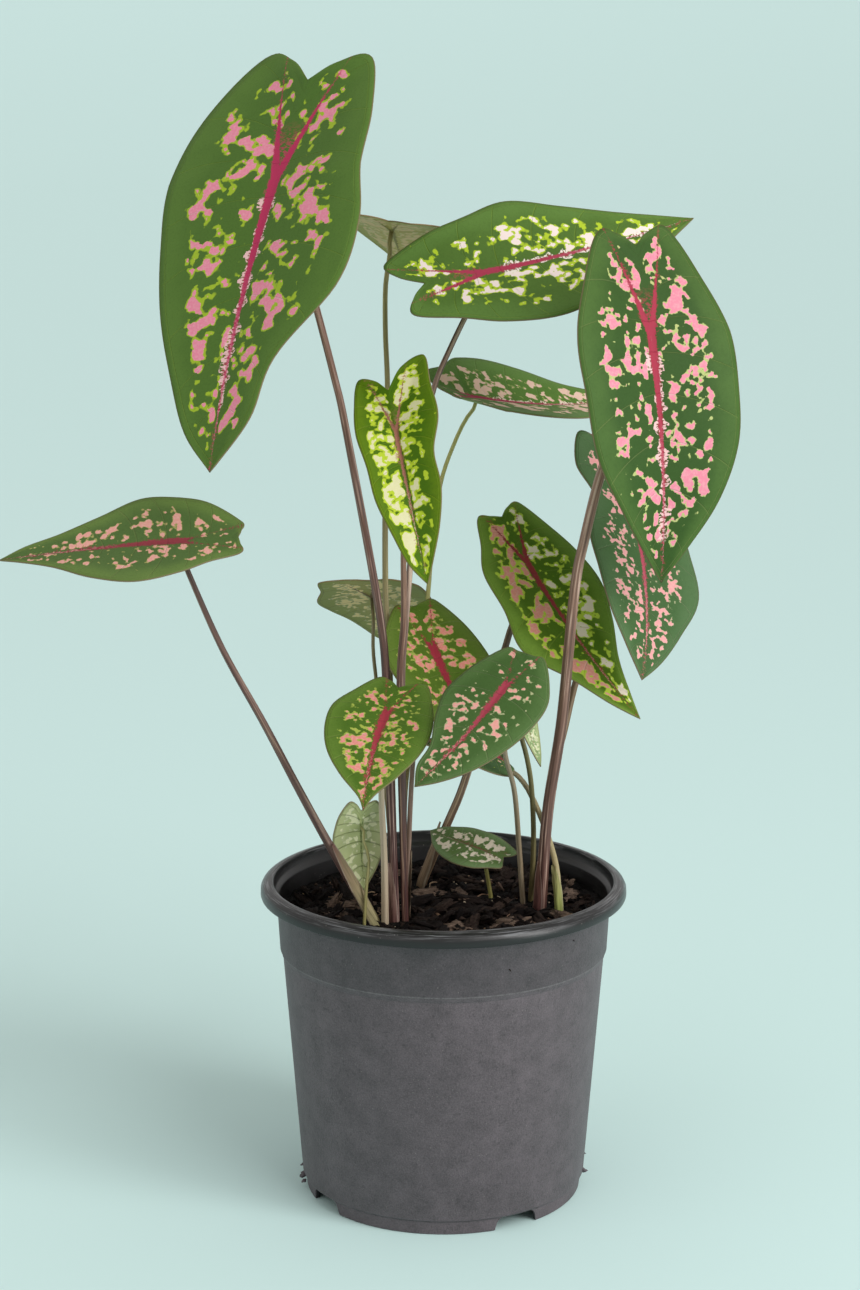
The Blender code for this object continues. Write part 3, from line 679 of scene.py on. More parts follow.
# Meshes


def between(first, last, share):
    return first + (last - first) * share


def smooth_through(points, steps):
    """A smooth curve through the points, with this many steps from each point to the next."""
    points = [Vector(point) for point in points]
    last = len(points) - 1
    slopes = [(second - first) / 2 for first, second in zip(points, points[2:])]
    slopes = [points[1] - points[0], *slopes, points[last] - points[last - 1]]
    curve = []
    for i in range(last):
        for step in range(steps):
            t = step / steps
            curve.append(
                (2 * t**3 - 3 * t**2 + 1) * points[i]
                + (t**3 - 2 * t**2 + t) * slopes[i]
                + (3 * t**2 - 2 * t**3) * points[i + 1]
                + (t**3 - t**2) * slopes[i + 1]
            )
    return curve + [points[last]]


def lengths_along(curve):
    """How far along the curve each of its points lies."""
    reach = [0.0]
    for first, second in zip(curve, curve[1:]):
        reach.append(reach[-1] + (second - first).length)
    return reach


def evenly_spaced(curve, spacing):
    """Points about this far apart along a curve given by many close points."""
    reach = lengths_along(curve)
    count = max(6, round(reach[-1] / spacing))
    spaced = []
    segment = 0
    for i in range(count + 1):
        wanted = reach[-1] * i / count
        while segment < len(curve) - 2 and reach[segment + 1] < wanted:
            segment += 1
        share = (wanted - reach[segment]) / max(reach[segment + 1] - reach[segment], 1e-6)
        spaced.append(between(curve[segment], curve[segment + 1], min(share, 1.0)))
    return spaced


def shaped_grid(columns, rows, place):
    """A bmesh made from a flat grid: place(column, row) gives a point and the attributes it carries."""
    bm = bmesh.new()
    layers = {name: bm.verts.layers.float_vector.new(name) for name in ("flat", "spot")}
    bmesh.ops.create_grid(bm, x_segments=columns, y_segments=rows, size=1.0)
    for vert in bm.verts:
        column = round((vert.co.x + 1.0) / 2.0 * columns)
        row = round((vert.co.y + 1.0) / 2.0 * rows)
        vert.co, vert[layers["flat"]], vert[layers["spot"]] = place(column, row)
    return bm


def tube(points, radii, around, ridge=0.0):
    """A round stalk through the points, closed at both ends, that tapers between its two radii."""
    axes = []
    normal = Vector((1.0, 0.0, 0.0))
    for i in range(len(points)):
        along = (points[min(i + 1, len(points) - 1)] - points[max(i - 1, 0)]).normalized()
        normal = (normal - along * normal.dot(along)).normalized()
        axes.append((normal, along.cross(normal)))
    reach = lengths_along(points)

    def place(column, row):
        turn = math.tau * column / around
        share = row / (len(points) - 1)
        radius = between(*radii, share) * (1.0 + ridge * math.cos(5.0 * turn + 0.02 * reach[row]))
        out = axes[row][0] * math.cos(turn) + axes[row][1] * math.sin(turn)
        flat = (radius * math.cos(turn), radius * math.sin(turn), reach[row])
        return points[row] + out * radius, flat, (share, 0.0, 0.0)

    bm = shaped_grid(around, len(points) - 1, place)
    bmesh.ops.remove_doubles(bm, verts=bm.verts, dist=1e-4)
    bmesh.ops.holes_fill(bm, edges=[edge for edge in bm.edges if edge.is_boundary], sides=0)
    return bm


def spin_profile(profile, sides):
    """A solid turned about Z from a profile of (radius, height) that starts and ends on the axis."""
    bm = bmesh.new()
    verts = [bm.verts.new((radius, 0.0, z)) for radius, z in profile]
    edges = [bm.edges.new(pair) for pair in zip(verts, verts[1:])]
    bmesh.ops.spin(
        bm, geom=verts + edges, axis=(0, 0, 1), cent=(0, 0, 0), angle=math.tau, steps=sides, use_merge=True
    )
    bmesh.ops.remove_doubles(bm, verts=bm.verts, dist=1e-4)
    return bm


def mesh_of(bm, name, turn_out=True):
    """A smooth-shaded mesh in metres from a bmesh in millimetres."""
    bmesh.ops.scale(bm, vec=(MM, MM, MM), verts=bm.verts)
    if turn_out:
        bmesh.ops.recalc_face_normals(bm, faces=bm.faces)
    mesh = bpy.data.meshes.new(name)
    bm.to_mesh(mesh)
    bm.free()
    mesh.shade_smooth()
    return mesh


def put(name, data):
    """Puts a mesh, a light or the camera in the scene as an object."""
    thing = bpy.data.objects.new(name, data)
    bpy.context.scene.collection.objects.link(thing)
    return thing


def add_piece(name, mesh, finishes, nodes=()):
    """Puts a mesh in the scene as a piece of the plant that takes the place of these nodes."""
    piece = put(name, mesh)
    for finish in finishes:
        mesh.materials.append(finish)
    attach(piece, "root")
    if nodes:
        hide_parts(*nodes)
    return piece


# Leaves


def half_outline(blade, side):
    """The margin of one half, from the notch round the lobe to the tip, as (across, along) points."""
    lobe = blade.lobes[side]
    spread = blade.spread[side]
    widths = (blade.right, blade.left)[side]
    anchors = [
        (0.0, -blade.notch),
        (0.42 * spread, -between(blade.notch, lobe, 0.74)),
        (spread, -lobe),
        (widths[0], -0.5 * lobe),
    ]
    anchors += [(width, station * blade.length) for width, station in zip(widths[1:], STATIONS)]
    anchors.append((0.0, blade.length))
    return smooth_through(anchors, ROW_STEPS)


def midrib_marks(blade):
    """Where each row of the blade leaves the middle line, one mark for each point of the margin."""
    anchors = [-share * blade.notch for share in (1.0, 0.85, 0.6, 0.3, 0.0)]
    anchors += [share * blade.length for share in (0.18, 0.39, 0.61, 0.82, 1.0)]
    marks = []
    for first, second in zip(anchors, anchors[1:]):
        marks += [between(first, second, step / ROW_STEPS) for step in range(ROW_STEPS)]
    return marks + [anchors[-1]]


def bend_blade(blade, across, along):
    """The place in the blade's own axes of a point of the flat cut leaf."""
    half_width = max(blade.right + blade.left)
    sweep = math.radians(blade.sweep) / blade.length
    if sweep:
        turn = sweep * along
        x = (1.0 - math.cos(turn)) / sweep + across * math.cos(turn)
        y = math.sin(turn) / sweep - across * math.sin(turn)
    else:
        x, y = across, along
    droop = math.radians(blade.arch) / blade.length
    crease = BASAL_CREASE * max(-along, 0.0)
    soft = 0.06 * half_width
    rise = math.hypot(abs(across) - crease, soft) - soft
    if abs(across) < crease:
        rise *= 0.4
    lift = math.tan(math.radians(blade.fold)) * rise - blade.curl * across**2 / half_width
    turn = droop * y
    run = math.sin(turn) / droop if droop else y
    fall = (1.0 - math.cos(turn)) / droop if droop else 0.0
    return Vector((x, run + lift * math.sin(turn), lift * math.cos(turn) - fall))


def blade_rotation(blade):
    """The turn that sends the blade's own axes, across, along and up, to their place."""
    angles = (blade.pitch, -blade.roll, blade.heading - 90.0)
    return Euler([math.radians(angle) for angle in angles], "YXZ").to_matrix()


def rib_distance(blade, across, along):
    """How far a point of the flat leaf is from the midrib or a basal vein, and how far out along it."""
    if along >= 0.0:
        return abs(across), along / blade.length
    lean = math.hypot(1.0, VEIN_LEAN)
    return abs(abs(across) + VEIN_LEAN * along) / lean, -along / (0.8 * max(blade.lobes))


def leaf_mesh(name, blade, settings):
    """A blade with a quilted upper face and ribs that stand out below. Its lower face has material 1."""
    turn = blade_rotation(blade)
    edges = [half_outline(blade, side) for side in (0, 1)]
    marks = midrib_marks(blade)
    size = max(blade.right + blade.left)

    def place(column, row):
        side = 1 if column < SIDE_COLUMNS else 0
        share = abs(column / SIDE_COLUMNS - 1.0) ** 1.35
        edge = edges[side][row]
        across = (-1.0 if side else 1.0) * edge.x * share
        along = between(marks[row], edge.y, share)
        margin = (1.0 - share) * math.hypot(edge.x, edge.y - marks[row])
        signed = -share if side else share
        point = Vector(blade.at) + turn @ bend_blade(blade, across, along)
        return point, (across, along, 0.0), (signed, row / ROW_STEPS, margin)

    bm = shaped_grid(2 * SIDE_COLUMNS, len(marks) - 1, place)
    bmesh.ops.remove_doubles(bm, verts=bm.verts, dist=1e-3)
    flat = bm.verts.layers.float_vector["flat"]
    spot = bm.verts.layers.float_vector["spot"]
    out = bm.verts.layers.float_vector.new("out")
    bm.normal_update()
    for vert in bm.verts:
        vert[out] = vert.normal
        share, row, _ = vert[spot]
        across, along, _ = vert[flat]
        bulge = abs(math.sin(math.pi * vein_count(share, row))) ** 0.7
        reach, far = rib_distance(blade, across, along)
        groove = 0.4 * math.exp(-((reach / (0.04 * size)) ** 2)) * max(1.0 - far, 0.0)
        quilt = settings.quilting / MM * size / 50.0
        lift = quilt * bulge * min(4.0 * abs(share) * (1.0 - abs(share)), 1.0)
        vert.co += vert.normal * (lift - groove)
    upper = bm.faces[:]
    lower = bmesh.ops.extrude_face_region(bm, geom=bm.faces[:], use_keep_orig=True)["geom"]
    for face in bm.faces:
        face.material_index = 1
    for face in upper:
        face.material_index = 0
    for vert in [part for part in lower if isinstance(part, bmesh.types.BMVert)]:
        across, along, _ = vert[flat]
        reach, far = rib_distance(blade, across, along)
        width = 0.026 * size * max(1.0 - 0.75 * far, 0.2) + 0.25
        rib = settings.rib_height / MM * size / 50.0 * max(1.0 - far, 0.0) ** 0.6
        depth = settings.thickness / MM + rib * math.exp(-((reach / width) ** 2))
        vert.co -= Vector(vert[out]) * depth
    bm.verts.layers.float_vector.remove(out)
    return mesh_of(bm, name)


def vein_count(share, row):
    """Counts the side veins: whole where one runs, from the middle out to the margin."""
    return 1.15 * row - 0.45 * share**2


class LeafSkin:
    """The skin of one face of a leaf, with the marks that both faces share."""

    def __init__(self, name, blade, look):
        self.finish = Finish(name)
        self.blade = blade
        self.look = look
        self.size = max(blade.right + blade.left)
        self.number = float(int(name[-2:]))
        across, self.along, _ = self.finish.split(self.finish.attribute("flat"))
        share, self.row, self.margin = self.finish.split(self.finish.attribute("spot"))
        self.side = share.above(0.0)
        self.share = abs(share)
        self.across = abs(across)
        signed = self.across * self.side.math("MULTIPLY_ADD", 2.0, -1.0)
        self.skin = self.finish.join(signed, self.along, self.number)
        self.fine = self.finish.noise(self.skin, 0.9, 3.0, 0.6)
        self.border = 1.0 - self.margin.between(0.15, 0.55)

    def blotches(self):
        """Blotches and their halos: clusters stretched along the side veins, made of rounder lumps."""
        finish, look, share, row = self.finish, self.look, self.share, self.row
        drawn = row - share * share * 0.4
        apart = self.side * 7.0 + self.number * 3.7
        sheet = finish.join(share * 1.6 / look.streak, drawn * look.streak, apart)
        clusters = finish.noise(sheet, 1.7 / look.grain, 1.0, 0.5)
        meshes = finish.mixed(0.4, self.skin, finish.areoles(self.skin, 34.0 / self.size))
        lumps = finish.noise(meshes, 9.5 / self.size / look.grain, 1.0, 0.4, 0.2)
        field = clusters * 0.44 + lumps * 0.56 + (self.fine - 0.5) * 0.012
        band = share.between(0.0, 0.14) * (1.0 - share.between(0.62, 0.88))
        ends = row.between(0.9, 1.7) * (1.0 - row.between(7.9, 8.9))
        limit = 0.84 - look.cover * 0.16 - band * ends * 0.22
        blotch = (field - limit).between(0.0, 0.008)
        return blotch, (field - limit).between(-1.35 * look.rim, -0.65 * look.rim)

    def ribs(self):
        """The midrib with the two basal veins. How deep a place lies in them is kept for the flecks."""
        finish, look, across, along = self.finish, self.look, self.across, self.along
        self.lobe = 0.8 * max(self.blade.lobes) * look.basal
        self.forward = along.above(0.0)
        wide = 0.04 * self.size * look.rib_width
        self.taper_out = taper_out = (1.0 - along / (self.blade.length * 0.93)).larger(0.0)
        midrib = (taper_out ** 2.2 + 0.18) * wide - across + 0.2 - (1.0 - taper_out) ** 6 * 0.6
        taper_back = (1.0 + along / self.lobe).larger(0.0)
        lean = 1.0 / math.hypot(1.0, VEIN_LEAN)
        basal = taper_back ** 1.2 * wide * 1.1 - abs(across + along * VEIN_LEAN) * lean
        self.depth = midrib * self.forward + basal * (1.0 - self.forward)
        frayed = finish.noise(finish.join(across, along * 0.6, self.side), 1.1, 3.0, 0.7) - 0.5
        return (self.depth + frayed * 2.6 * look.rib_width).between(-0.1, 0.3)

    def beside_ribs(self):
        """Cream flecks beside the midrib, red blush round the ribs and between the basal veins, and how
        far the midrib pales toward the tip.
        """
        finish, look, across, along = self.finish, self.look, self.across, self.along
        forward, taper_out = self.forward, self.taper_out
        reach = finish.noise(finish.join(0.0, along, self.side * 5.0), 0.12, 2.0).between(0.35, 0.7)
        teeth = finish.noise(finish.join(across * 0.5, along, self.side), 0.85, 2.0, 0.6)
        near = (self.depth + reach * 3.2 * look.rib_width - 0.6 + teeth * 0.8).between(0.0, 0.5)
        middle = taper_out.between(0.0, 0.3) * (1.0 - taper_out.between(0.86, 0.98)) * forward
        flecks = (near * teeth.between(0.47, 0.52) * middle * look.feather).between(0.3, 0.45)
        inside = (along * -VEIN_LEAN - across).between(0.0, 0.6) * (1.0 - forward)
        inside = inside * (along / (self.lobe * 0.6) + 1.0).between(0.0, 0.6)
        inside = inside * (1.0 - teeth.between(0.46, 0.54)) * look.feather
        blush = (self.depth + reach * 1.6 + (teeth - 0.5) * 5.0).between(-0.8, 0.6)
        blush = blush * (1.0 - teeth.between(0.42, 0.5))
        faded = taper_out.between(0.75, 0.1) * teeth.between(0.42, 0.56) * forward * 0.75
        return flecks, blush.larger(inside), faded

    def veins(self):
        """Side veins, and a vein just inside the margin."""
        count = vein_count(self.share, self.row)
        nearest = abs(count.math("FRACT") - 0.5) * -1.0 + 0.5
        vein = 1.0 - (nearest * (0.2 * self.blade.length)).between(0.0, 0.5)
        rim = 1.0 - abs(self.margin - 0.055 * self.size).between(0.0, 0.35)
        return vein.larger(rim) * (1.0 - self.share.between(0.93, 0.99))


def upper_finish(name, blade, look):
    """Greens with pale blotches between the side veins and crimson ribs."""
    skin = LeafSkin(name, blade, look)
    finish, fine = skin.finish, skin.fine
    blotch, halo = skin.blotches()
    rib = skin.ribs()
    flecks, blush, faded = skin.beside_ribs()
    vein = skin.veins()
    patches = (finish.noise(skin.skin, 0.07, 3.0) - 0.5) * 0.9
    tone = (skin.share.between(0.45, 0.95) * 0.8 + patches).between(0.0, 1.0)
    green = finish.mixed(tone, colour_of(look.green), colour_of(look.edge))
    green = finish.mixed(vein * 0.12, green, colour_of(look.halo))
    green = finish.mixed(fine.between(0.45, 0.75) * 0.16, green, (0.02, 0.04, 0.01))
    colour = finish.mixed(halo * 0.85, green, colour_of(look.halo))
    inner = finish.mixed(fine.between(0.4, 0.7) * 0.35, colour_of(look.blotch), pale(look.blotch, 0.45))
    inner = finish.mixed(vein * 0.4, inner, pale(look.blotch, 0.7))
    half = skin.side if look.cream > 0.0 else 1.0 - skin.side
    inner = finish.mixed(half * abs(look.cream), inner, pale(look.halo, 0.95))
    colour = finish.mixed(blotch, colour, inner)
    colour = finish.mixed(flecks, colour, pale(look.blotch, 0.45))
    colour = finish.mixed(blush * 0.75, colour, colour_of(look.rib))
    uneven = (finish.noise(skin.skin, 2.0, 2.0, 0.6) - 0.5).between(-0.5, 0.5)
    crimson = finish.mixed(uneven, darker(look.rib, 0.82), colour_of(look.rib))
    crimson = finish.mixed(faded, crimson, pale(look.blotch, 0.12))
    colour = finish.mixed(rib, colour, crimson)
    colour = finish.mixed(skin.border * 0.45, colour, colour_of(DRY_MARGIN))
    finish.set(base_color=colour, roughness=fine * 0.14 + 0.46, specular_ior_level=0.12)
    finish.bump(fine * 0.2 - vein * 0.7 - rib * 0.3, 0.0007, 0.6)
    return finish.material


def lower_finish(name, blade, look):
    """Dull paler greens on which the blotches and the veins show through."""
    skin = LeafSkin(name, blade, look)
    finish, fine = skin.finish, skin.fine
    blotch, halo = skin.blotches()
    rib = skin.ribs()
    vein = skin.veins()
    green = finish.mixed(skin.share.between(0.2, 0.9), colour_of(look.under), colour_of(look.edge))
    green = finish.mixed(0.65, green, colour_of(look.under))
    colour = finish.mixed(halo * 0.4, green, pale(look.under, 0.4))
    colour = finish.mixed(blotch * 0.8, colour, colour_of(look.back))
    colour = finish.mixed(vein * 0.4, colour, colour_of(look.vein))
    colour = finish.mixed(rib * 0.8, colour, colour_of(look.vein))
    colour = finish.mixed(skin.border * 0.7, colour, colour_of(DRY_MARGIN_BELOW))
    finish.set(base_color=colour, roughness=fine * 0.12 + 0.55, specular_ior_level=0.1)
    finish.bump(fine * 0.25 + vein * 0.8, 0.0007, 0.6)
    return finish.material


def build_leaf(number, settings):
    blade, look = BLADES[number], LOOKS[number]
    above = upper_finish(f"upper_face_{number}", blade, look)
    below = lower_finish(f"lower_face_{number}", blade, look)
    name = f"leaf_{number}"
    add_piece(name, leaf_mesh(name, blade, settings), [above, below], [f"blade_{number}"])


# Stems


def stem_points(stem, blade):
    """Points from a tuber's crown to the underside of the blade, which the stem meets squarely."""
    under = blade_rotation(blade) @ Vector((0.0, 0.0, -1.0))
    top = Vector(blade.at) + under * 0.4
    turn_in = Vector(blade.at) + under * (CAD_THICKNESS + GAP + 5.0 * max(stem.radii[1], 1.0))
    foot = Vector((*stem.foot, CROWN_Z + GAP))
    above_mix = smooth_through([Vector((*stem.foot, MIX_Z)), *stem.via, turn_in], 8)
    return [*evenly_spaced([foot, *above_mix], 5.0), top]


def stem_finish(number, bark):
    finish = Finish(f"stem_skin_{number}")
    flat = finish.attribute("flat")
    share, _, _ = finish.split(finish.attribute("spot"))
    own = float(number)
    strands = finish.noise(finish.scaled(flat, (0.85, 0.85, 0.018), (own, 0.0, 0.0)), 1.0, 3.0, 0.6)
    patches = finish.noise(finish.scaled(flat, (0.4, 0.4, 0.05), (0.0, own, 0.0)), 1.0, 3.0)
    colour = finish.mixed(share, colour_of(bark.foot), colour_of(bark.top))
    dark = darker(bark.foot, 0.26)
    colour = finish.mixed((1.0 - strands.between(0.34, 0.52)) * bark.lines, colour, dark)
    pale_strands = strands.between(0.5, 0.64) * (patches.between(0.35, 0.6) * 0.7 + 0.3) * bark.streaks
    colour = finish.mixed(pale_strands, colour, colour_of(bark.streak))
    speck = finish.noise(finish.scaled(flat, (1.0, 1.0, 0.5)), 3.0, 2.0)
    colour = finish.mixed(speck.between(0.62, 0.7) * 0.3, colour, dark)
    finish.set(base_color=colour, roughness=strands * 0.3 + 0.34, specular_ior_level=0.4)
    finish.bump(strands * 0.7 + speck * 0.2, 0.0004, 0.7)
    return finish.material


def build_stem(number, settings):
    stem = STEMS[number]
    points = stem_points(stem, BLADES[number])
    around = 28 if stem.radii[0] > 1.4 else 18
    name = f"stalk_{number}"
    mesh = mesh_of(tube(points, stem.radii, around, settings.ridge), name)
    add_piece(name, mesh, [stem_finish(number, BARKS[number])], [f"stem_{number}"])


SHEATHS = (
    Sheath("09", 40.0, -50.0, 150.0, 0.5, (176, 168, 124), (110, 74, 70)),
    Sheath("07", 30.0, 200.0, 190.0, 0.8, (128, 106, 84), (158, 136, 112)),
    Sheath("14", 19.0, -120.0, 210.0, 0.5, (140, 150, 78), (176, 170, 118)),
    Sheath("03", 33.0, 20.0, 120.0, 1.0, (120, 92, 74), (176, 156, 130)),
    Sheath("04", 24.0, -130.0, 110.0, 0.4, (88, 54, 52), (128, 92, 80)),
    Sheath("01", 30.0, -120.0, 130.0, 0.5, (96, 62, 58), (172, 142, 130)),
)


def sheath_finish(sheath):
    """A papery leaf base with lengthwise fibres and pale edges."""
    finish = Finish(f"sheath_skin_{sheath.stem}")
    flat = finish.attribute("flat")
    share, edge, _ = finish.split(finish.attribute("spot"))
    fibres = finish.noise(finish.scaled(flat, (1.4, 1.0, 0.04)), 1.0, 4.0, 0.65)
    colour = finish.mixed(share, colour_of(sheath.foot), colour_of(sheath.tip))
    dark = darker(sheath.foot, 0.35)
    colour = finish.mixed((1.0 - fibres.between(0.38, 0.54)) * 0.75, colour, dark)
    colour = finish.mixed(edge.between(0.7, 1.0) * 0.5, colour, pale(sheath.tip, 0.3))
    finish.set(base_color=colour, roughness=fibres * 0.2 + 0.6, specular_ior_level=0.15)
    finish.bump(fibres, 0.0004, 0.7)
    return finish.material


def build_sheath(sheath):
    """A split tube round a stem's foot that narrows to its tip, with edges that curl away from the stem."""
    stem = STEMS[sheath.stem]
    points = smooth_through(stem_points(stem, BLADES[sheath.stem]), 4)
    points = [point for point in points if -3.0 < point.z - MIX_Z < sheath.height]
    facing = Vector((math.cos(math.radians(sheath.facing)), math.sin(math.radians(sheath.facing)), 0.0))
    columns = 16

    def place(column, row):
        share = row / (len(points) - 1)
        edge = abs(2.0 * column / columns - 1.0)
        half = 0.5 * math.radians(sheath.spread) * (1.0 - 0.85 * share**1.7)
        turn = half * (2.0 * column / columns - 1.0)
        step = (points[min(row + 1, len(points) - 1)] - points[max(row - 1, 0)]).normalized()
        out = (facing - step * facing.dot(step)).normalized()
        aside = step.cross(out)
        radius = stem.radii[0] + sheath.space * (0.5 + share) + 0.5 * edge**3
        radius += 0.25 * noise.noise((turn * 2.0, row * 0.25, sheath.height))
        point = points[row] + (out * math.cos(turn) + aside * math.sin(turn)) * radius
        return point, (turn * radius, 0.0, 1.3 * row), (share, edge, 0.0)

    bm = shaped_grid(columns, len(points) - 1, place)
    bmesh.ops.solidify(bm, geom=bm.faces[:], thickness=0.25)
    name = f"sheath_{sheath.stem}"
    add_piece(name, mesh_of(bm, name), [sheath_finish(sheath)])


# Potting mix

# Chips laid one by one: across, along, heading in degrees, and three sides
LAID_CHIPS = (
    (33.0, -27.0, 8.0, 19.0, 8.0, 3.6),
    (-46.0, 2.0, -20.0, 17.0, 6.5, 3.2),
    (4.0, -34.0, 60.0, 13.0, 6.0, 3.0),
    (-8.0, 18.0, 30.0, 15.0, 6.0, 3.4),
    (58.0, 14.0, 75.0, 14.0, 6.0, 3.0),
    (-14.0, 52.0, -10.0, 17.0, 7.0, 3.4),
)

# The section of a tuber's flank, in shares of its radius and of its height
TUBER_FLANK = ((0.62, 0.9), (0.93, 0.66), (1.0, 0.42), (0.97, 0.16), (0.86, 0.0))


def pot_inner_radius(z):
    """The radius of the pot's inner wall at a height under its ledge."""
    if z > COLLAR_FOOT_Z:
        share = (z - COLLAR_FOOT_Z) / (POT_HEIGHT - LIP_DEPTH - COLLAR_FOOT_Z)
        return between(COLLAR_FOOT_RADIUS, COLLAR_TOP_RADIUS, share) - WALL
    share = (z - FOOT_BAND_Z) / (BODY_TOP_Z - FOOT_BAND_Z)
    return between(BODY_FOOT_RADIUS, BODY_TOP_RADIUS, min(share, 1.0)) - WALL


def mix_height(x, y):
    """How far the surface of the mix stands above or below its mean height."""
    broad = MIX_WAVE * (noise.noise((x / 17.0, y / 17.0, 3.0)) + 0.9 * noise.noise((x / 8.0, y / 8.0, 7.0)))
    crumbs = 1.3 * noise.fractal((x / 6.0, y / 6.0, 9.0), 0.6, 2.0, 4)
    return broad + crumbs


def clear_of_stems(x, y, reach):
    """Whether a lump of this reach at this place stands clear of every stem's foot."""
    return all(
        math.hypot(x - stem.foot[0], y - stem.foot[1]) > reach + stem.radii[0] for stem in STEMS.values()
    )


def earth_finish(settings):
    finish = Finish("moist_mix_with_painted_shade")
    place = finish.place()
    coarse = finish.noise(place, 0.12, 4.0, 0.6)
    fine = finish.noise(place, 0.9, 5.0, 0.65)
    tone = (fine * 0.7 + coarse * 0.5).between(0.5, 0.85)
    # The darkest tones are partly painted shade in the gaps between chips.
    colour = finish.mixed(tone, tuple(settings.dark), tuple(settings.brown))
    colour = finish.mixed(fine.between(0.64, 0.72) * 0.5, colour, (0.035, 0.027, 0.022))
    finish.set(base_color=colour, roughness=0.82 - fine * 0.2, specular_ior_level=0.12)
    finish.bump(fine, 0.0015, 0.9)
    return finish.material


def tuber_finish():
    """Brown papery skin with rings of old leaf scars."""
    finish = Finish("papery_skin")
    place = finish.place()
    rings = finish.noise(finish.scaled(place, (0.05, 0.05, 0.9)), 1.0, 4.0, 0.6)
    fine = finish.noise(place, 0.8, 4.0, 0.6)
    colour = finish.mixed(fine, colour_of((78, 52, 36)), colour_of((140, 104, 76)))
    colour = finish.mixed(rings.between(0.45, 0.65) * 0.6, colour, colour_of((56, 36, 26)))
    finish.set(base_color=colour, roughness=fine * 0.2 + 0.7, specular_ior_level=0.15)
    finish.bump(rings + fine * 0.5, 0.0006, 0.8)
    return finish.material


def build_tubers():
    """The flattened tubers that lie in the mix, with slightly uneven flanks."""
    skin = tuber_finish()
    for name, tuber in TUBERS.items():
        flank = [(tuber.radius * wide, CROWN_Z - tuber.height * deep, 0.0) for wide, deep in TUBER_FLANK]
        profile = [(0.0, CROWN_Z - tuber.height)]
        profile += [tuple(point.xy) for point in smooth_through(flank, 5)]
        bm = spin_profile([*profile, (0.0, CROWN_Z)], 48)
        for vert in bm.verts:
            if vert.co.z < CROWN_Z - 0.1:
                uneven = 0.012 * noise.noise((vert.co.x / 5.0, vert.co.y / 5.0, vert.co.z / 2.0)) - 0.01
                vert.co.xy *= 1.0 + uneven
        bmesh.ops.translate(bm, vec=(*tuber.at, 0.0), verts=bm.verts)
        add_piece(f"{name}_skin", mesh_of(bm, f"{name}_skin"), [skin], [name])


def build_mix(settings):
    """The filling of the pot, with a rough surface on close rings."""
    rings = [3.0 + 1.7 * i for i in range(42)]
    edge = pot_inner_radius(MIX_Z) - 0.1
    profile = [
        (0.0, WALL + GAP),
        (PAD_RADIUS - 0.9, WALL + GAP),
        (PAD_RADIUS + PAD_SLOPE - 0.9, FLOOR_TOP_Z + GAP),
        (pot_inner_radius(FOOT_BAND_Z) - 1.9, FLOOR_TOP_Z + GAP),
        (pot_inner_radius(FOOT_BAND_Z) - GAP, FOOT_BAND_Z + 1.6),
        (BODY_TOP_RADIUS - WALL - GAP, BODY_TOP_Z),
        (pot_inner_radius(COLLAR_FOOT_Z + 1.0) - GAP, COLLAR_FOOT_Z + 1.3),
        (edge, MIX_Z),
    ]
    profile += [(radius, MIX_Z) for radius in reversed(rings) if radius < edge - 0.5] + [(0.0, MIX_Z)]
    bm = spin_profile(profile, MIX_SIDES)
    for vert in bm.verts:
        if vert.co.z > MIX_Z - 0.01:
            vert.co.z += mix_height(vert.co.x, vert.co.y)
    mesh = mesh_of(bm, "mix_body")
    add_piece("mix_body", mesh, [earth_finish(settings)], ["potting_mix"])


def lump(detail, roughness, seed):
    """A rough pebble one millimetre across, to be stretched into crumbs, chips and grains."""
    bm = bmesh.new()
    bmesh.ops.create_icosphere(bm, subdivisions=detail, radius=0.5)
    for vert in bm.verts:
        vert.co *= 1.0 + roughness * noise.fractal(vert.co * 2.6 + Vector((seed, 0.0, 0.0)), 0.7, 2.0, 3)
    mesh = bpy.data.meshes.new("lump")
    bm.to_mesh(mesh)
    bm.free()
    return mesh


def join_form(bm, form, place, turn, sides, tint):
    """Adds a copy of a form to a bmesh, turned, stretched, moved to its place and given its tint."""
    form = form.copy()
    form.transform(Matrix.LocRotScale(place, turn, Vector(sides)))
    form.attributes.new("tint", "FLOAT", "POINT")
    form.attributes["tint"].data.foreach_set("value", [tint] * len(form.vertices))
    bm.from_mesh(form)
    bpy.data.meshes.remove(form)


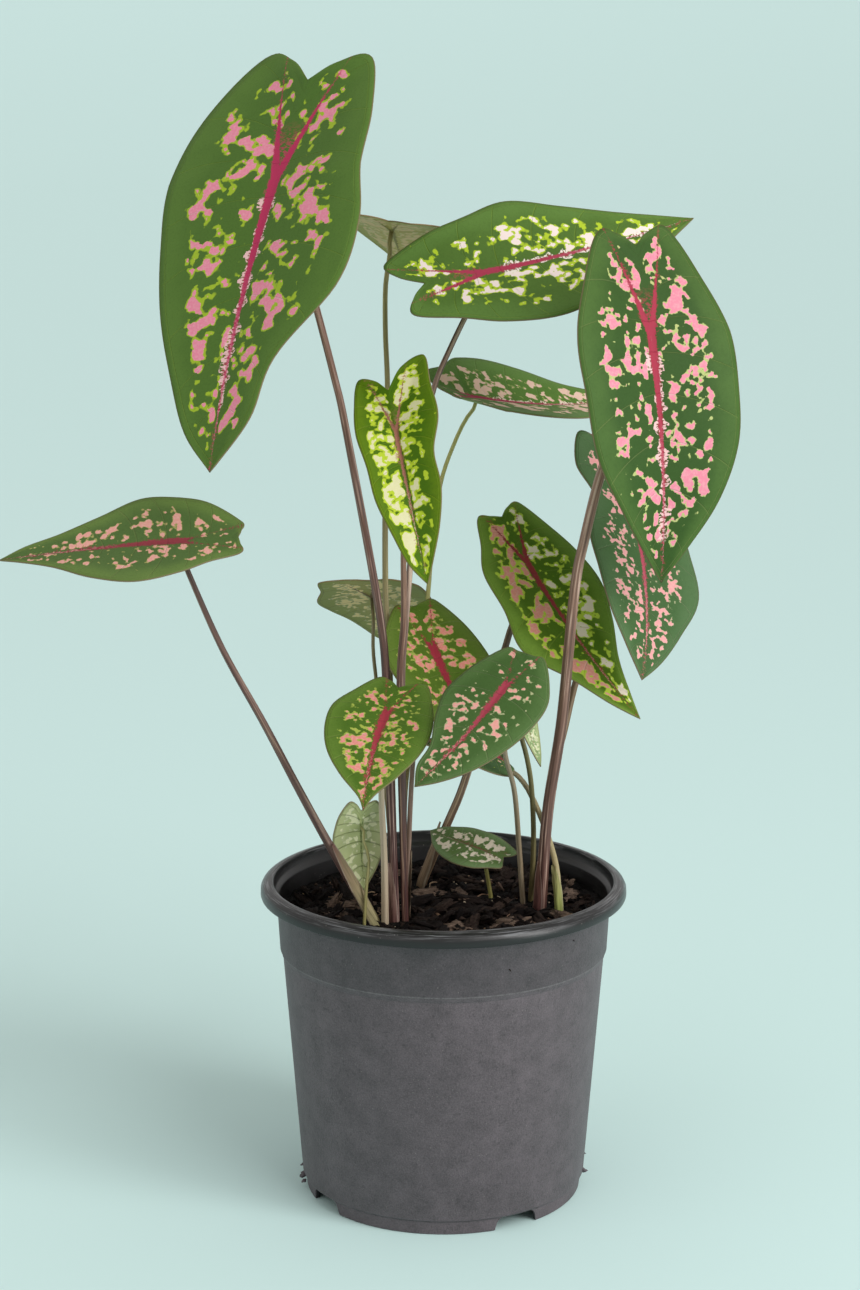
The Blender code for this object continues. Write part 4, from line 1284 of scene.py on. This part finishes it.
def scatter(name, count, detail, roughness, sizes, seed, finish, sink=0.35, lean=16.0, laid=()):
    """Strews lumps over the mix as one piece. Sizes gives the least and the most of their three sides."""
    chance = random.Random(seed)
    forms = [lump(detail, roughness, 5.0 * i + seed) for i in range(6)]
    bm = bmesh.new()
    bm.verts.layers.float.new("tint")
    for x, y, heading, *sides in laid:
        spot = Vector((x, y, MIX_Z + mix_height(x, y) + 0.6 * sides[2]))
        join_form(bm, forms[0], spot, Euler((0.1, -0.05, math.radians(heading))), sides, 0.97)
    tried = 0
    while tried < count:
        radius = (pot_inner_radius(MIX_Z) - 1.0) * STREWN_SHARE * math.sqrt(chance.random())
        turn = math.tau * chance.random()
        grow = chance.random() ** 1.7
        sides = [between(low, high, grow) * chance.uniform(0.85, 1.15) for low, high in sizes]
        x, y = radius * math.cos(turn), radius * math.sin(turn)
        half = 0.5 * sides[0]
        if radius + half > pot_inner_radius(MIX_Z) - 0.4 or not clear_of_stems(x, y, half):
            # A large lump that doesn't fit counts as tried, and a small one is drawn again
            tried += 1 if sides[0] > 1.5 * sizes[0][0] else 0
            continue
        tilt = Euler([math.radians(chance.gauss(0.0, lean)) for _ in "xy"] + [math.tau * chance.random()])
        spot = Vector((x, y, MIX_Z + mix_height(x, y) + (0.5 - sink) * sides[2]))
        form = chance.choice(forms)
        join_form(bm, form, spot, tilt, sides, chance.random())
        tried += 1
    add_piece(name, mesh_of(bm, name, turn_out=False), [finish])


def chip_finish():
    """Weathered bark: brown to grey, with long fibres."""
    finish = Finish("weathered_bark")
    place = finish.place()
    tint = finish.number("tint")
    fibres = finish.noise(finish.scaled(place, (0.35, 1.1, 1.6)), 1.0, 4.0, 0.65)
    # The near-black end of the tint is partly painted shade between the chips and partly the bark's own
    # dark colour.
    colour = finish.mixed(tint * tint, colour_of((15, 12, 12)), colour_of((68, 54, 47)))
    colour = finish.mixed(tint.between(0.84, 0.95), colour, colour_of((126, 106, 92)))
    colour = finish.mixed(fibres.between(0.35, 0.65) * 0.6, colour, colour_of((30, 21, 18)))
    finish.set(base_color=colour, roughness=0.9 - fibres * 0.2, specular_ior_level=0.12)
    finish.bump(fibres, 0.0014, 0.9)
    return finish.material


def crumb_finish(settings):
    finish = Finish("mix_crumbs")
    place = finish.place()
    tint = finish.number("tint")
    fine = finish.noise(place, 1.3, 4.0, 0.65)
    # Crumbs toward the dark colour are partly painted shade between the chips.
    colour = finish.mixed(tint, tuple(settings.dark), tuple(settings.brown))
    colour = finish.mixed(tint.between(0.93, 0.97) * 0.7, colour, colour_of((150, 120, 96)))
    colour = finish.mixed(fine.between(0.5, 0.75) * 0.5, colour, tuple(settings.dark))
    finish.set(base_color=colour, roughness=0.88, specular_ior_level=0.12)
    finish.bump(fine, 0.0008, 0.9)
    return finish.material


def grain_finish():
    finish = Finish("pale_grains")
    tint = finish.number("tint")
    place = finish.place()
    fine = finish.noise(place, 1.6, 3.0, 0.6)
    colour = finish.mixed(tint, colour_of((138, 112, 88)), colour_of((206, 190, 166)))
    colour = finish.mixed(fine.between(0.45, 0.7) * 0.4, colour, colour_of((110, 88, 72)))
    finish.set(base_color=colour, roughness=0.8, specular_ior_level=0.3)
    finish.bump(fine, 0.0006, 0.8)
    return finish.material


def root_finish():
    finish = Finish("dry_rootlets")
    tint = finish.number("tint")
    flat = finish.attribute("flat")
    strands = finish.noise(finish.scaled(flat, (2.0, 2.0, 0.2)), 1.0, 3.0)
    colour = finish.mixed(tint, colour_of((112, 66, 54)), colour_of((190, 160, 130)))
    colour = finish.mixed(strands.between(0.4, 0.65) * 0.5, colour, colour_of((60, 40, 34)))
    finish.set(base_color=colour, roughness=0.7, specular_ior_level=0.35)
    finish.bump(strands, 0.0003, 0.6)
    return finish.material


def build_rootlets(settings):
    """Fine roots and twigs that lie on the mix and dip into it."""
    chance = random.Random(41)
    bm = bmesh.new()
    bm.verts.layers.float.new("tint")
    bm.verts.layers.float_vector.new("flat")
    for _ in range(settings.rootlets):
        radius = (pot_inner_radius(MIX_Z) - 14.0) * math.sqrt(chance.random())
        turn = math.tau * chance.random()
        spot = Vector((radius * math.cos(turn), radius * math.sin(turn), 0.0))
        heading = math.tau * chance.random()
        points = []
        for step in range(7):
            height = MIX_Z + mix_height(spot.x, spot.y) + 1.1 * math.sin(math.pi * step / 6.0) - 0.4
            points.append(Vector((spot.x, spot.y, height)))
            heading += chance.gauss(0.0, 0.3)
            spot += Vector((math.cos(heading), math.sin(heading), 0.0)) * chance.uniform(1.2, 3.4)
        thick = between(0.16, 0.5, chance.random() ** 2)
        form = bpy.data.meshes.new("rootlet")
        root = tube(smooth_through(points, 4), (thick, thick * 0.5), 6)
        root.to_mesh(form)
        root.free()
        join_form(bm, form, Vector(), Euler(), (1.0, 1.0, 1.0), chance.random())
    add_piece("rootlets", mesh_of(bm, "rootlets"), [root_finish()])


# Pot


def pot_profile():
    """The pot's section, down the outside and back up the inside, from the axis below to the axis above."""
    lip_foot = POT_HEIGHT - LIP_DEPTH
    lip_inside = LIP_RADIUS - LIP_THICKNESS
    outside = [
        (0.0, 0.0),
        (PAD_RADIUS, 0.0),
        (PAD_RADIUS + PAD_SLOPE, FLOOR_TOP_Z - WALL),
        (FOOT_RADIUS - FOOT_RING_WIDTH, FLOOR_TOP_Z - WALL),
        (FOOT_RADIUS - FOOT_RING_WIDTH, 0.0),
        (FOOT_RADIUS - 0.4, 0.0),
        (FOOT_RADIUS, 0.4),
        (FOOT_RADIUS + 0.6, FOOT_BAND_Z - 1.2),
        (BODY_FOOT_RADIUS - 0.5, FOOT_BAND_Z - 0.5),
        (BODY_FOOT_RADIUS, FOOT_BAND_Z + 0.4),
        (BODY_TOP_RADIUS, BODY_TOP_Z),
        (BODY_TOP_RADIUS + 0.5, BODY_TOP_Z + 0.6),
        (COLLAR_FOOT_RADIUS - 0.4, COLLAR_FOOT_Z - 0.8),
        (COLLAR_FOOT_RADIUS, COLLAR_FOOT_Z),
        (COLLAR_TOP_RADIUS, lip_foot - 0.8),
        (COLLAR_TOP_RADIUS + 0.3, lip_foot - 0.2),
        (COLLAR_TOP_RADIUS + 1.0, lip_foot),
        (LIP_RADIUS - 0.7, lip_foot),
        (LIP_RADIUS - 0.2, lip_foot + 0.3),
        (LIP_RADIUS, lip_foot + 0.9),
    ]
    top = [
        (LIP_RADIUS - 0.1, POT_HEIGHT - 3.4),
        (LIP_RADIUS - 1.0, POT_HEIGHT - 1.7),
        (LIP_RADIUS - 2.8, POT_HEIGHT - 0.5),
        (LIP_RADIUS - 4.9, POT_HEIGHT),
        (lip_inside + 0.3, POT_HEIGHT - 0.4),
        (lip_inside, POT_HEIGHT - 1.4),
    ]
    inside = [
        (lip_inside - 0.3, lip_foot + WALL + 0.6),
        (lip_inside - 0.9, lip_foot + WALL - 0.2),
        (pot_inner_radius(lip_foot) + 0.4, lip_foot + 0.4),
        (pot_inner_radius(lip_foot), lip_foot - 0.6),
        (pot_inner_radius(COLLAR_FOOT_Z + 1.0), COLLAR_FOOT_Z + 1.0),
        (BODY_TOP_RADIUS - WALL, BODY_TOP_Z),
        (pot_inner_radius(FOOT_BAND_Z), FOOT_BAND_Z + 1.4),
        (pot_inner_radius(FOOT_BAND_Z) - 1.6, FLOOR_TOP_Z),
        (PAD_RADIUS + PAD_SLOPE - 0.6, FLOOR_TOP_Z),
        (PAD_RADIUS - 0.6, WALL),
        (0.0, WALL),
    ]
    return outside + [tuple(point) for point in smooth_through(top, 4)] + inside


def cut_away(piece, cutters):
    """Cuts the shapes out of a piece for good."""
    group = bpy.data.collections.new(piece.name + "_cutters")
    bpy.context.scene.collection.children.link(group)
    for mesh in cutters:
        group.objects.link(bpy.data.objects.new(mesh.name, mesh))
    modifier = piece.modifiers.new("Cut", "BOOLEAN")
    modifier.operation = "DIFFERENCE"
    modifier.operand_type = "COLLECTION"
    modifier.collection = group
    modifier.solver = "EXACT"
    with bpy.context.temp_override(object=piece, active_object=piece, selected_objects=[piece]):
        bpy.ops.object.modifier_apply(modifier=modifier.name)
    for cutter in list(group.objects):
        bpy.data.objects.remove(cutter, do_unlink=True)
    bpy.data.collections.remove(group)


def drain_cutters():
    """Round holes through the raised floor, and notches through the foot of the wall."""
    cutters = []
    for i in range(DRAIN_COUNT):
        turn = math.tau * (i + 0.5) / DRAIN_COUNT
        bm = bmesh.new()
        bmesh.ops.create_cone(
            bm, cap_ends=True, segments=32, radius1=DRAIN_RADIUS, radius2=DRAIN_RADIUS,
            depth=3 * FLOOR_TOP_Z,
        )
        place = Vector((math.cos(turn), math.sin(turn), 0.0)) * DRAIN_RING_RADIUS
        bmesh.ops.translate(bm, vec=place, verts=bm.verts)
        cutters.append(mesh_of(bm, "drain_cutter"))
    for turn in NOTCH_TURNS:
        bm = bmesh.new()
        bmesh.ops.create_cube(bm, size=1.0)
        bmesh.ops.scale(bm, vec=(NOTCH_WIDTH, 12.0, 2 * NOTCH_HEIGHT), verts=bm.verts)
        roof = [vert for vert in bm.verts if vert.co.z > 0.0]
        bmesh.ops.scale(bm, vec=(0.78, 1.0, 1.0), verts=roof)
        upright = [edge for edge in bm.edges if abs(edge.verts[0].co.y - edge.verts[1].co.y) > 1.0]
        bmesh.ops.bevel(
            bm, geom=upright, offset=3.0, offset_type="OFFSET", affect="EDGES",
            segments=6, profile=0.5, material=-1,
        )
        bmesh.ops.translate(bm, vec=(0, -FOOT_RADIUS, 0), verts=bm.verts)
        around = Matrix.Rotation(math.radians(turn), 3, "Z")
        bmesh.ops.rotate(bm, cent=(0, 0, 0), matrix=around, verts=bm.verts)
        cutters.append(mesh_of(bm, "notch_cutter"))
    return cutters


def plastic_finish(settings):
    """Moulded black plastic with a soft sheen, dust, fine scuffs, water marks and a painted highlight along
    the top of the lip.
    """
    finish = Finish("moulded_plastic")
    place = finish.place()
    grain = finish.noise(place, 1.6, 3.0, 0.6)
    broad = finish.noise(finish.scaled(place, (1.0, 1.0, 0.35)), 0.03, 4.0, 0.6)
    streaks = finish.noise(finish.scaled(place, (0.5, 0.5, 0.03)), 1.0, 4.0, 0.7)
    x, y, height = finish.split(place)
    radius = (x * x + y * y).math("SQRT")

    # Chalky bloom on the outside of the wall under the lip, a little thinner on the collar
    slope = (BODY_TOP_RADIUS - BODY_FOOT_RADIUS) / (BODY_TOP_Z - FOOT_BAND_Z)
    steps = height.above(FOOT_BAND_Z - 0.8) * 2.0 + height.above(COLLAR_FOOT_Z - 2.0) * 0.9
    wall = (height - FOOT_BAND_Z).larger(0.0) * slope + steps + FOOT_RADIUS - 0.8
    outer = (radius - wall).between(0.0, 0.4)
    outer = outer * (1.0 - height.between(POT_HEIGHT - LIP_DEPTH - 0.6, POT_HEIGHT - LIP_DEPTH))
    base = tuple(settings.plastic)
    mottle = finish.noise(place, 0.1, 5.0, 0.65)
    collar = height.above(COLLAR_FOOT_Z - 1.0)
    bloom = ((mottle - 0.5) * 0.8 + 0.64 + (grain - 0.5) * 0.9) * (1.0 - collar * 0.25) * outer
    colour = finish.mixed(bloom, base, tuple(settings.chalk))

    # Water marks, bare spots, the pale seam under the collar, dust, scuffs, and pale rings round the top of
    # the lip that are a painted highlight
    colour = finish.mixed(streaks.between(0.6, 0.75) * 0.05, colour, (0.2, 0.19, 0.2))
    spots = finish.noise(place, 0.5, 3.0, 0.6).between(0.58, 0.66) * (broad * 0.8 + 0.1)
    colour = finish.mixed(spots * outer * 0.5, colour, base)
    seam = 1.0 - abs(height - COLLAR_FOOT_Z + 0.4).between(0.2, 0.6)
    colour = finish.mixed(seam * (streaks.between(0.3, 0.6) * 0.22 + 0.06), colour, (0.3, 0.28, 0.28))
    dust = 1.0 - finish.specks(place, 0.42).between(0.08, 0.15)
    dust = dust * finish.noise(place, 0.09, 2.0).between(0.5, 0.62)
    colour = finish.mixed(dust * 0.35, colour, (0.3, 0.28, 0.26))
    scuffs_and_glints = finish.noise(finish.scaled(place, (0.12, 0.12, 2.2)), 1.0, 3.0, 0.6).between(0.66, 0.74)
    # The top band of the lip takes pale rings and scuffs that are a painted highlight; the faint scuffs all
    # over the pot are wear.
    top = height.between(POT_HEIGHT - 4.0, POT_HEIGHT - 0.5)
    rings = finish.noise(finish.join(x * 0.05, y * 0.05, radius * 2.5), 1.0, 3.0, 0.6).between(0.5, 0.66)
    colour = finish.mixed((rings * 0.6 + scuffs_and_glints * 0.3) * top + scuffs_and_glints * 0.1, colour, (0.26, 0.26, 0.27))
    rough = outer * 0.24 + settings.roughness + broad * 0.12 + dust * 0.2 + scuffs_and_glints * 0.12 - 0.18
    finish.set(base_color=colour, roughness=rough, specular_ior_level=0.45)
    pebbles = finish.noise(place, 0.9, 2.0, 0.5)
    finish.bump(pebbles * outer + grain * 0.3, 0.0004, 0.5)
    return finish.material


# Burrs of the foot: turn round the pot in degrees, height and size
BURRS = (
    (187.0, 5.2, 3.0),
    (190.0, 3.4, 1.8),
    (184.5, 9.0, 1.3),
    (-5.0, 6.4, 2.4),
    (-9.0, 8.6, 1.4),
    (-3.0, 14.0, 1.4),
)


def build_burrs(finish):
    """Small lumps of stray plastic at the two mould seams of the foot."""
    bm = bmesh.new()
    radius = BODY_FOOT_RADIUS + 0.1
    for i, (turn, height, size) in enumerate(BURRS):
        turn = math.radians(turn)
        place = Vector((radius * math.cos(turn), radius * math.sin(turn), height))
        form = lump(2, 0.9, 3.0 * i)
        sides = Vector((1.3, 0.8, 1.0)) * size
        form.transform(Matrix.LocRotScale(place, Euler((0.3 * i, 0.2, turn)), sides))
        bm.from_mesh(form)
        bpy.data.meshes.remove(form)
    add_piece("mould_burrs", mesh_of(bm, "mould_burrs", turn_out=False), [finish])


def build_pot(settings):
    plastic = plastic_finish(settings)
    mesh = mesh_of(spin_profile(pot_profile(), POT_SIDES), "nursery_pot")
    pot = add_piece("nursery_pot", mesh, [plastic], ["pot"])
    cut_away(pot, drain_cutters())
    pot.data.shade_smooth()
    pot.data.set_sharp_from_angle(angle=math.radians(SHARP_ANGLE))
    build_burrs(plastic)


# Stage


def hang(name, data, place, turn):
    """Puts a light or the camera at its place, turned as given."""
    holder = put(name, data)
    holder.location = place
    holder.rotation_euler = turn
    return holder


def towards(place, aim=(0.0, 0.0, 0.0)):
    """The turn of a light at this place that shines at the aim."""
    return (Vector(aim) - Vector(place)).to_track_quat("-Z", "Y").to_euler()


def add_sun(name, strength, softness, place):
    """A soft light that shines on the plant from this side, as wide in the sky as its softness."""
    light = bpy.data.lights.new(name, "SUN")
    light.angle = math.radians(softness)
    light.energy = strength
    hang(name, light, place, towards(place))


def build_floor(settings):
    """A plain floor that rises far away into a plain background."""
    curve = smooth_through([(radius, z, 0.0) for radius, z in FLOOR_PROFILE], 6)
    mesh = mesh_of(spin_profile([tuple(point.xy) for point in curve], FLOOR_SIDES), "floor", turn_out=False)
    paper = Finish("floor_paper")
    paper.set(base_color=tuple(settings.floor), roughness=0.9, specular_ior_level=0.1)
    mesh.materials.append(paper.material)
    put("floor", mesh)


def build_stage(settings):
    """The floor, soft lights and the camera."""
    build_floor(settings)
    scene = bpy.context.scene
    scene.world = bpy.data.worlds.new("studio")
    scene.world.use_nodes = True
    sky = scene.world.node_tree.nodes["Background"]
    sky.inputs["Color"].default_value = SKY_COLOUR
    sky.inputs["Strength"].default_value = settings.sky_strength
    add_sun("key_light", settings.key_strength, KEY_SOFTNESS, KEY_PLACE)
    add_sun("fill_light", settings.fill_strength, FILL_SOFTNESS, FILL_PLACE)
    panel = bpy.data.lights.new("side_panel", "AREA")
    panel.shape = "RECTANGLE"
    panel.size, panel.size_y = PANEL_SIZE
    panel.energy = settings.panel_power
    hang("side_panel", panel, PANEL_PLACE, towards(PANEL_PLACE, PANEL_AIM))

    scene.view_settings.view_transform = "Standard"
    camera = bpy.data.cameras.new("photo_camera")
    camera.lens = settings.focal_length
    camera.sensor_fit = "VERTICAL"
    camera.sensor_height = SENSOR_HEIGHT
    place = (CAMERA_ASIDE, -settings.camera_distance, CAMERA_HEIGHT)
    scene.camera = hang("photo_camera", camera, place, (math.radians(90.0 - CAMERA_DIP), 0.0, 0.0))


# Operators, panel and run


class CALADIUM_OT_pot(bpy.types.Operator):
    """Build the nursery pot"""

    bl_idname = "caladium.pot"
    bl_label = "Pot"

    def execute(self, context):
        build_pot(context.scene.caladium.pot)
        return {"FINISHED"}


class CALADIUM_OT_mix(bpy.types.Operator):
    """Build the potting mix and what lies on it"""

    bl_idname = "caladium.mix"
    bl_label = "Potting mix"

    def execute(self, context):
        settings = context.scene.caladium.mix
        build_mix(settings)
        build_tubers()
        scatter("mix_crumbs", settings.crumbs, 1, 0.8, CRUMB_SIDES, 3, crumb_finish(settings))
        scatter(
            "bark_chips", settings.chips, 3, 1.0, CHIP_SIDES, 17, chip_finish(),
            sink=0.2, lean=27.0, laid=LAID_CHIPS,
        )
        scatter("pale_grains", settings.grains, 2, 0.5, GRAIN_SIDES, 29, grain_finish(), sink=0.2)
        build_rootlets(settings)
        return {"FINISHED"}


class CALADIUM_OT_stems(bpy.types.Operator):
    """Build the stems"""

    bl_idname = "caladium.stems"
    bl_label = "Stems"

    def execute(self, context):
        for number in STEMS:
            build_stem(number, context.scene.caladium.stems)
        for sheath in SHEATHS:
            build_sheath(sheath)
        return {"FINISHED"}


class CALADIUM_OT_leaves(bpy.types.Operator):
    """Build the leaf blades"""

    bl_idname = "caladium.leaves"
    bl_label = "Leaves"

    def execute(self, context):
        for number in BLADES:
            build_leaf(number, context.scene.caladium.leaves)
        return {"FINISHED"}


class CALADIUM_OT_stage(bpy.types.Operator):
    """Build the floor, the lights and the camera"""

    bl_idname = "caladium.stage"
    bl_label = "Stage"

    def execute(self, context):
        build_stage(context.scene.caladium.stage)
        return {"FINISHED"}


class CALADIUM_PT_panel(bpy.types.Panel):
    """Settings and steps of the plant"""

    bl_label = "Potted caladium"
    bl_idname = "CALADIUM_PT_panel"
    bl_space_type = "VIEW_3D"
    bl_region_type = "UI"
    bl_category = "Caladium"

    def draw(self, context):
        settings = context.scene.caladium
        for group, operator in STEPS:
            box = self.layout.box()
            part = getattr(settings, group)
            for name in part.__annotations__:
                box.prop(part, name)
            box.operator(operator)


STEPS = (
    ("pot", "caladium.pot"),
    ("mix", "caladium.mix"),
    ("stems", "caladium.stems"),
    ("leaves", "caladium.leaves"),
    ("stage", "caladium.stage"),
)
CLASSES = (
    LeafSettings,
    StemSettings,
    MixSettings,
    PotSettings,
    StageSettings,
    CaladiumSettings,
    CALADIUM_OT_pot,
    CALADIUM_OT_mix,
    CALADIUM_OT_stems,
    CALADIUM_OT_leaves,
    CALADIUM_OT_stage,
    CALADIUM_PT_panel,
)


def register():
    for cls in CLASSES:
        bpy.utils.register_class(cls)
    bpy.types.Scene.caladium = PointerProperty(type=CaladiumSettings)


def unregister():
    del bpy.types.Scene.caladium
    for cls in reversed(CLASSES):
        bpy.utils.unregister_class(cls)


def main():
    register()
    bpy.ops.caladium.pot()
    bpy.ops.caladium.mix()
    bpy.ops.caladium.stems()
    bpy.ops.caladium.leaves()
    bpy.ops.caladium.stage()
    bpy.context.view_layer.update()


if __name__ == "__main__":
    main()
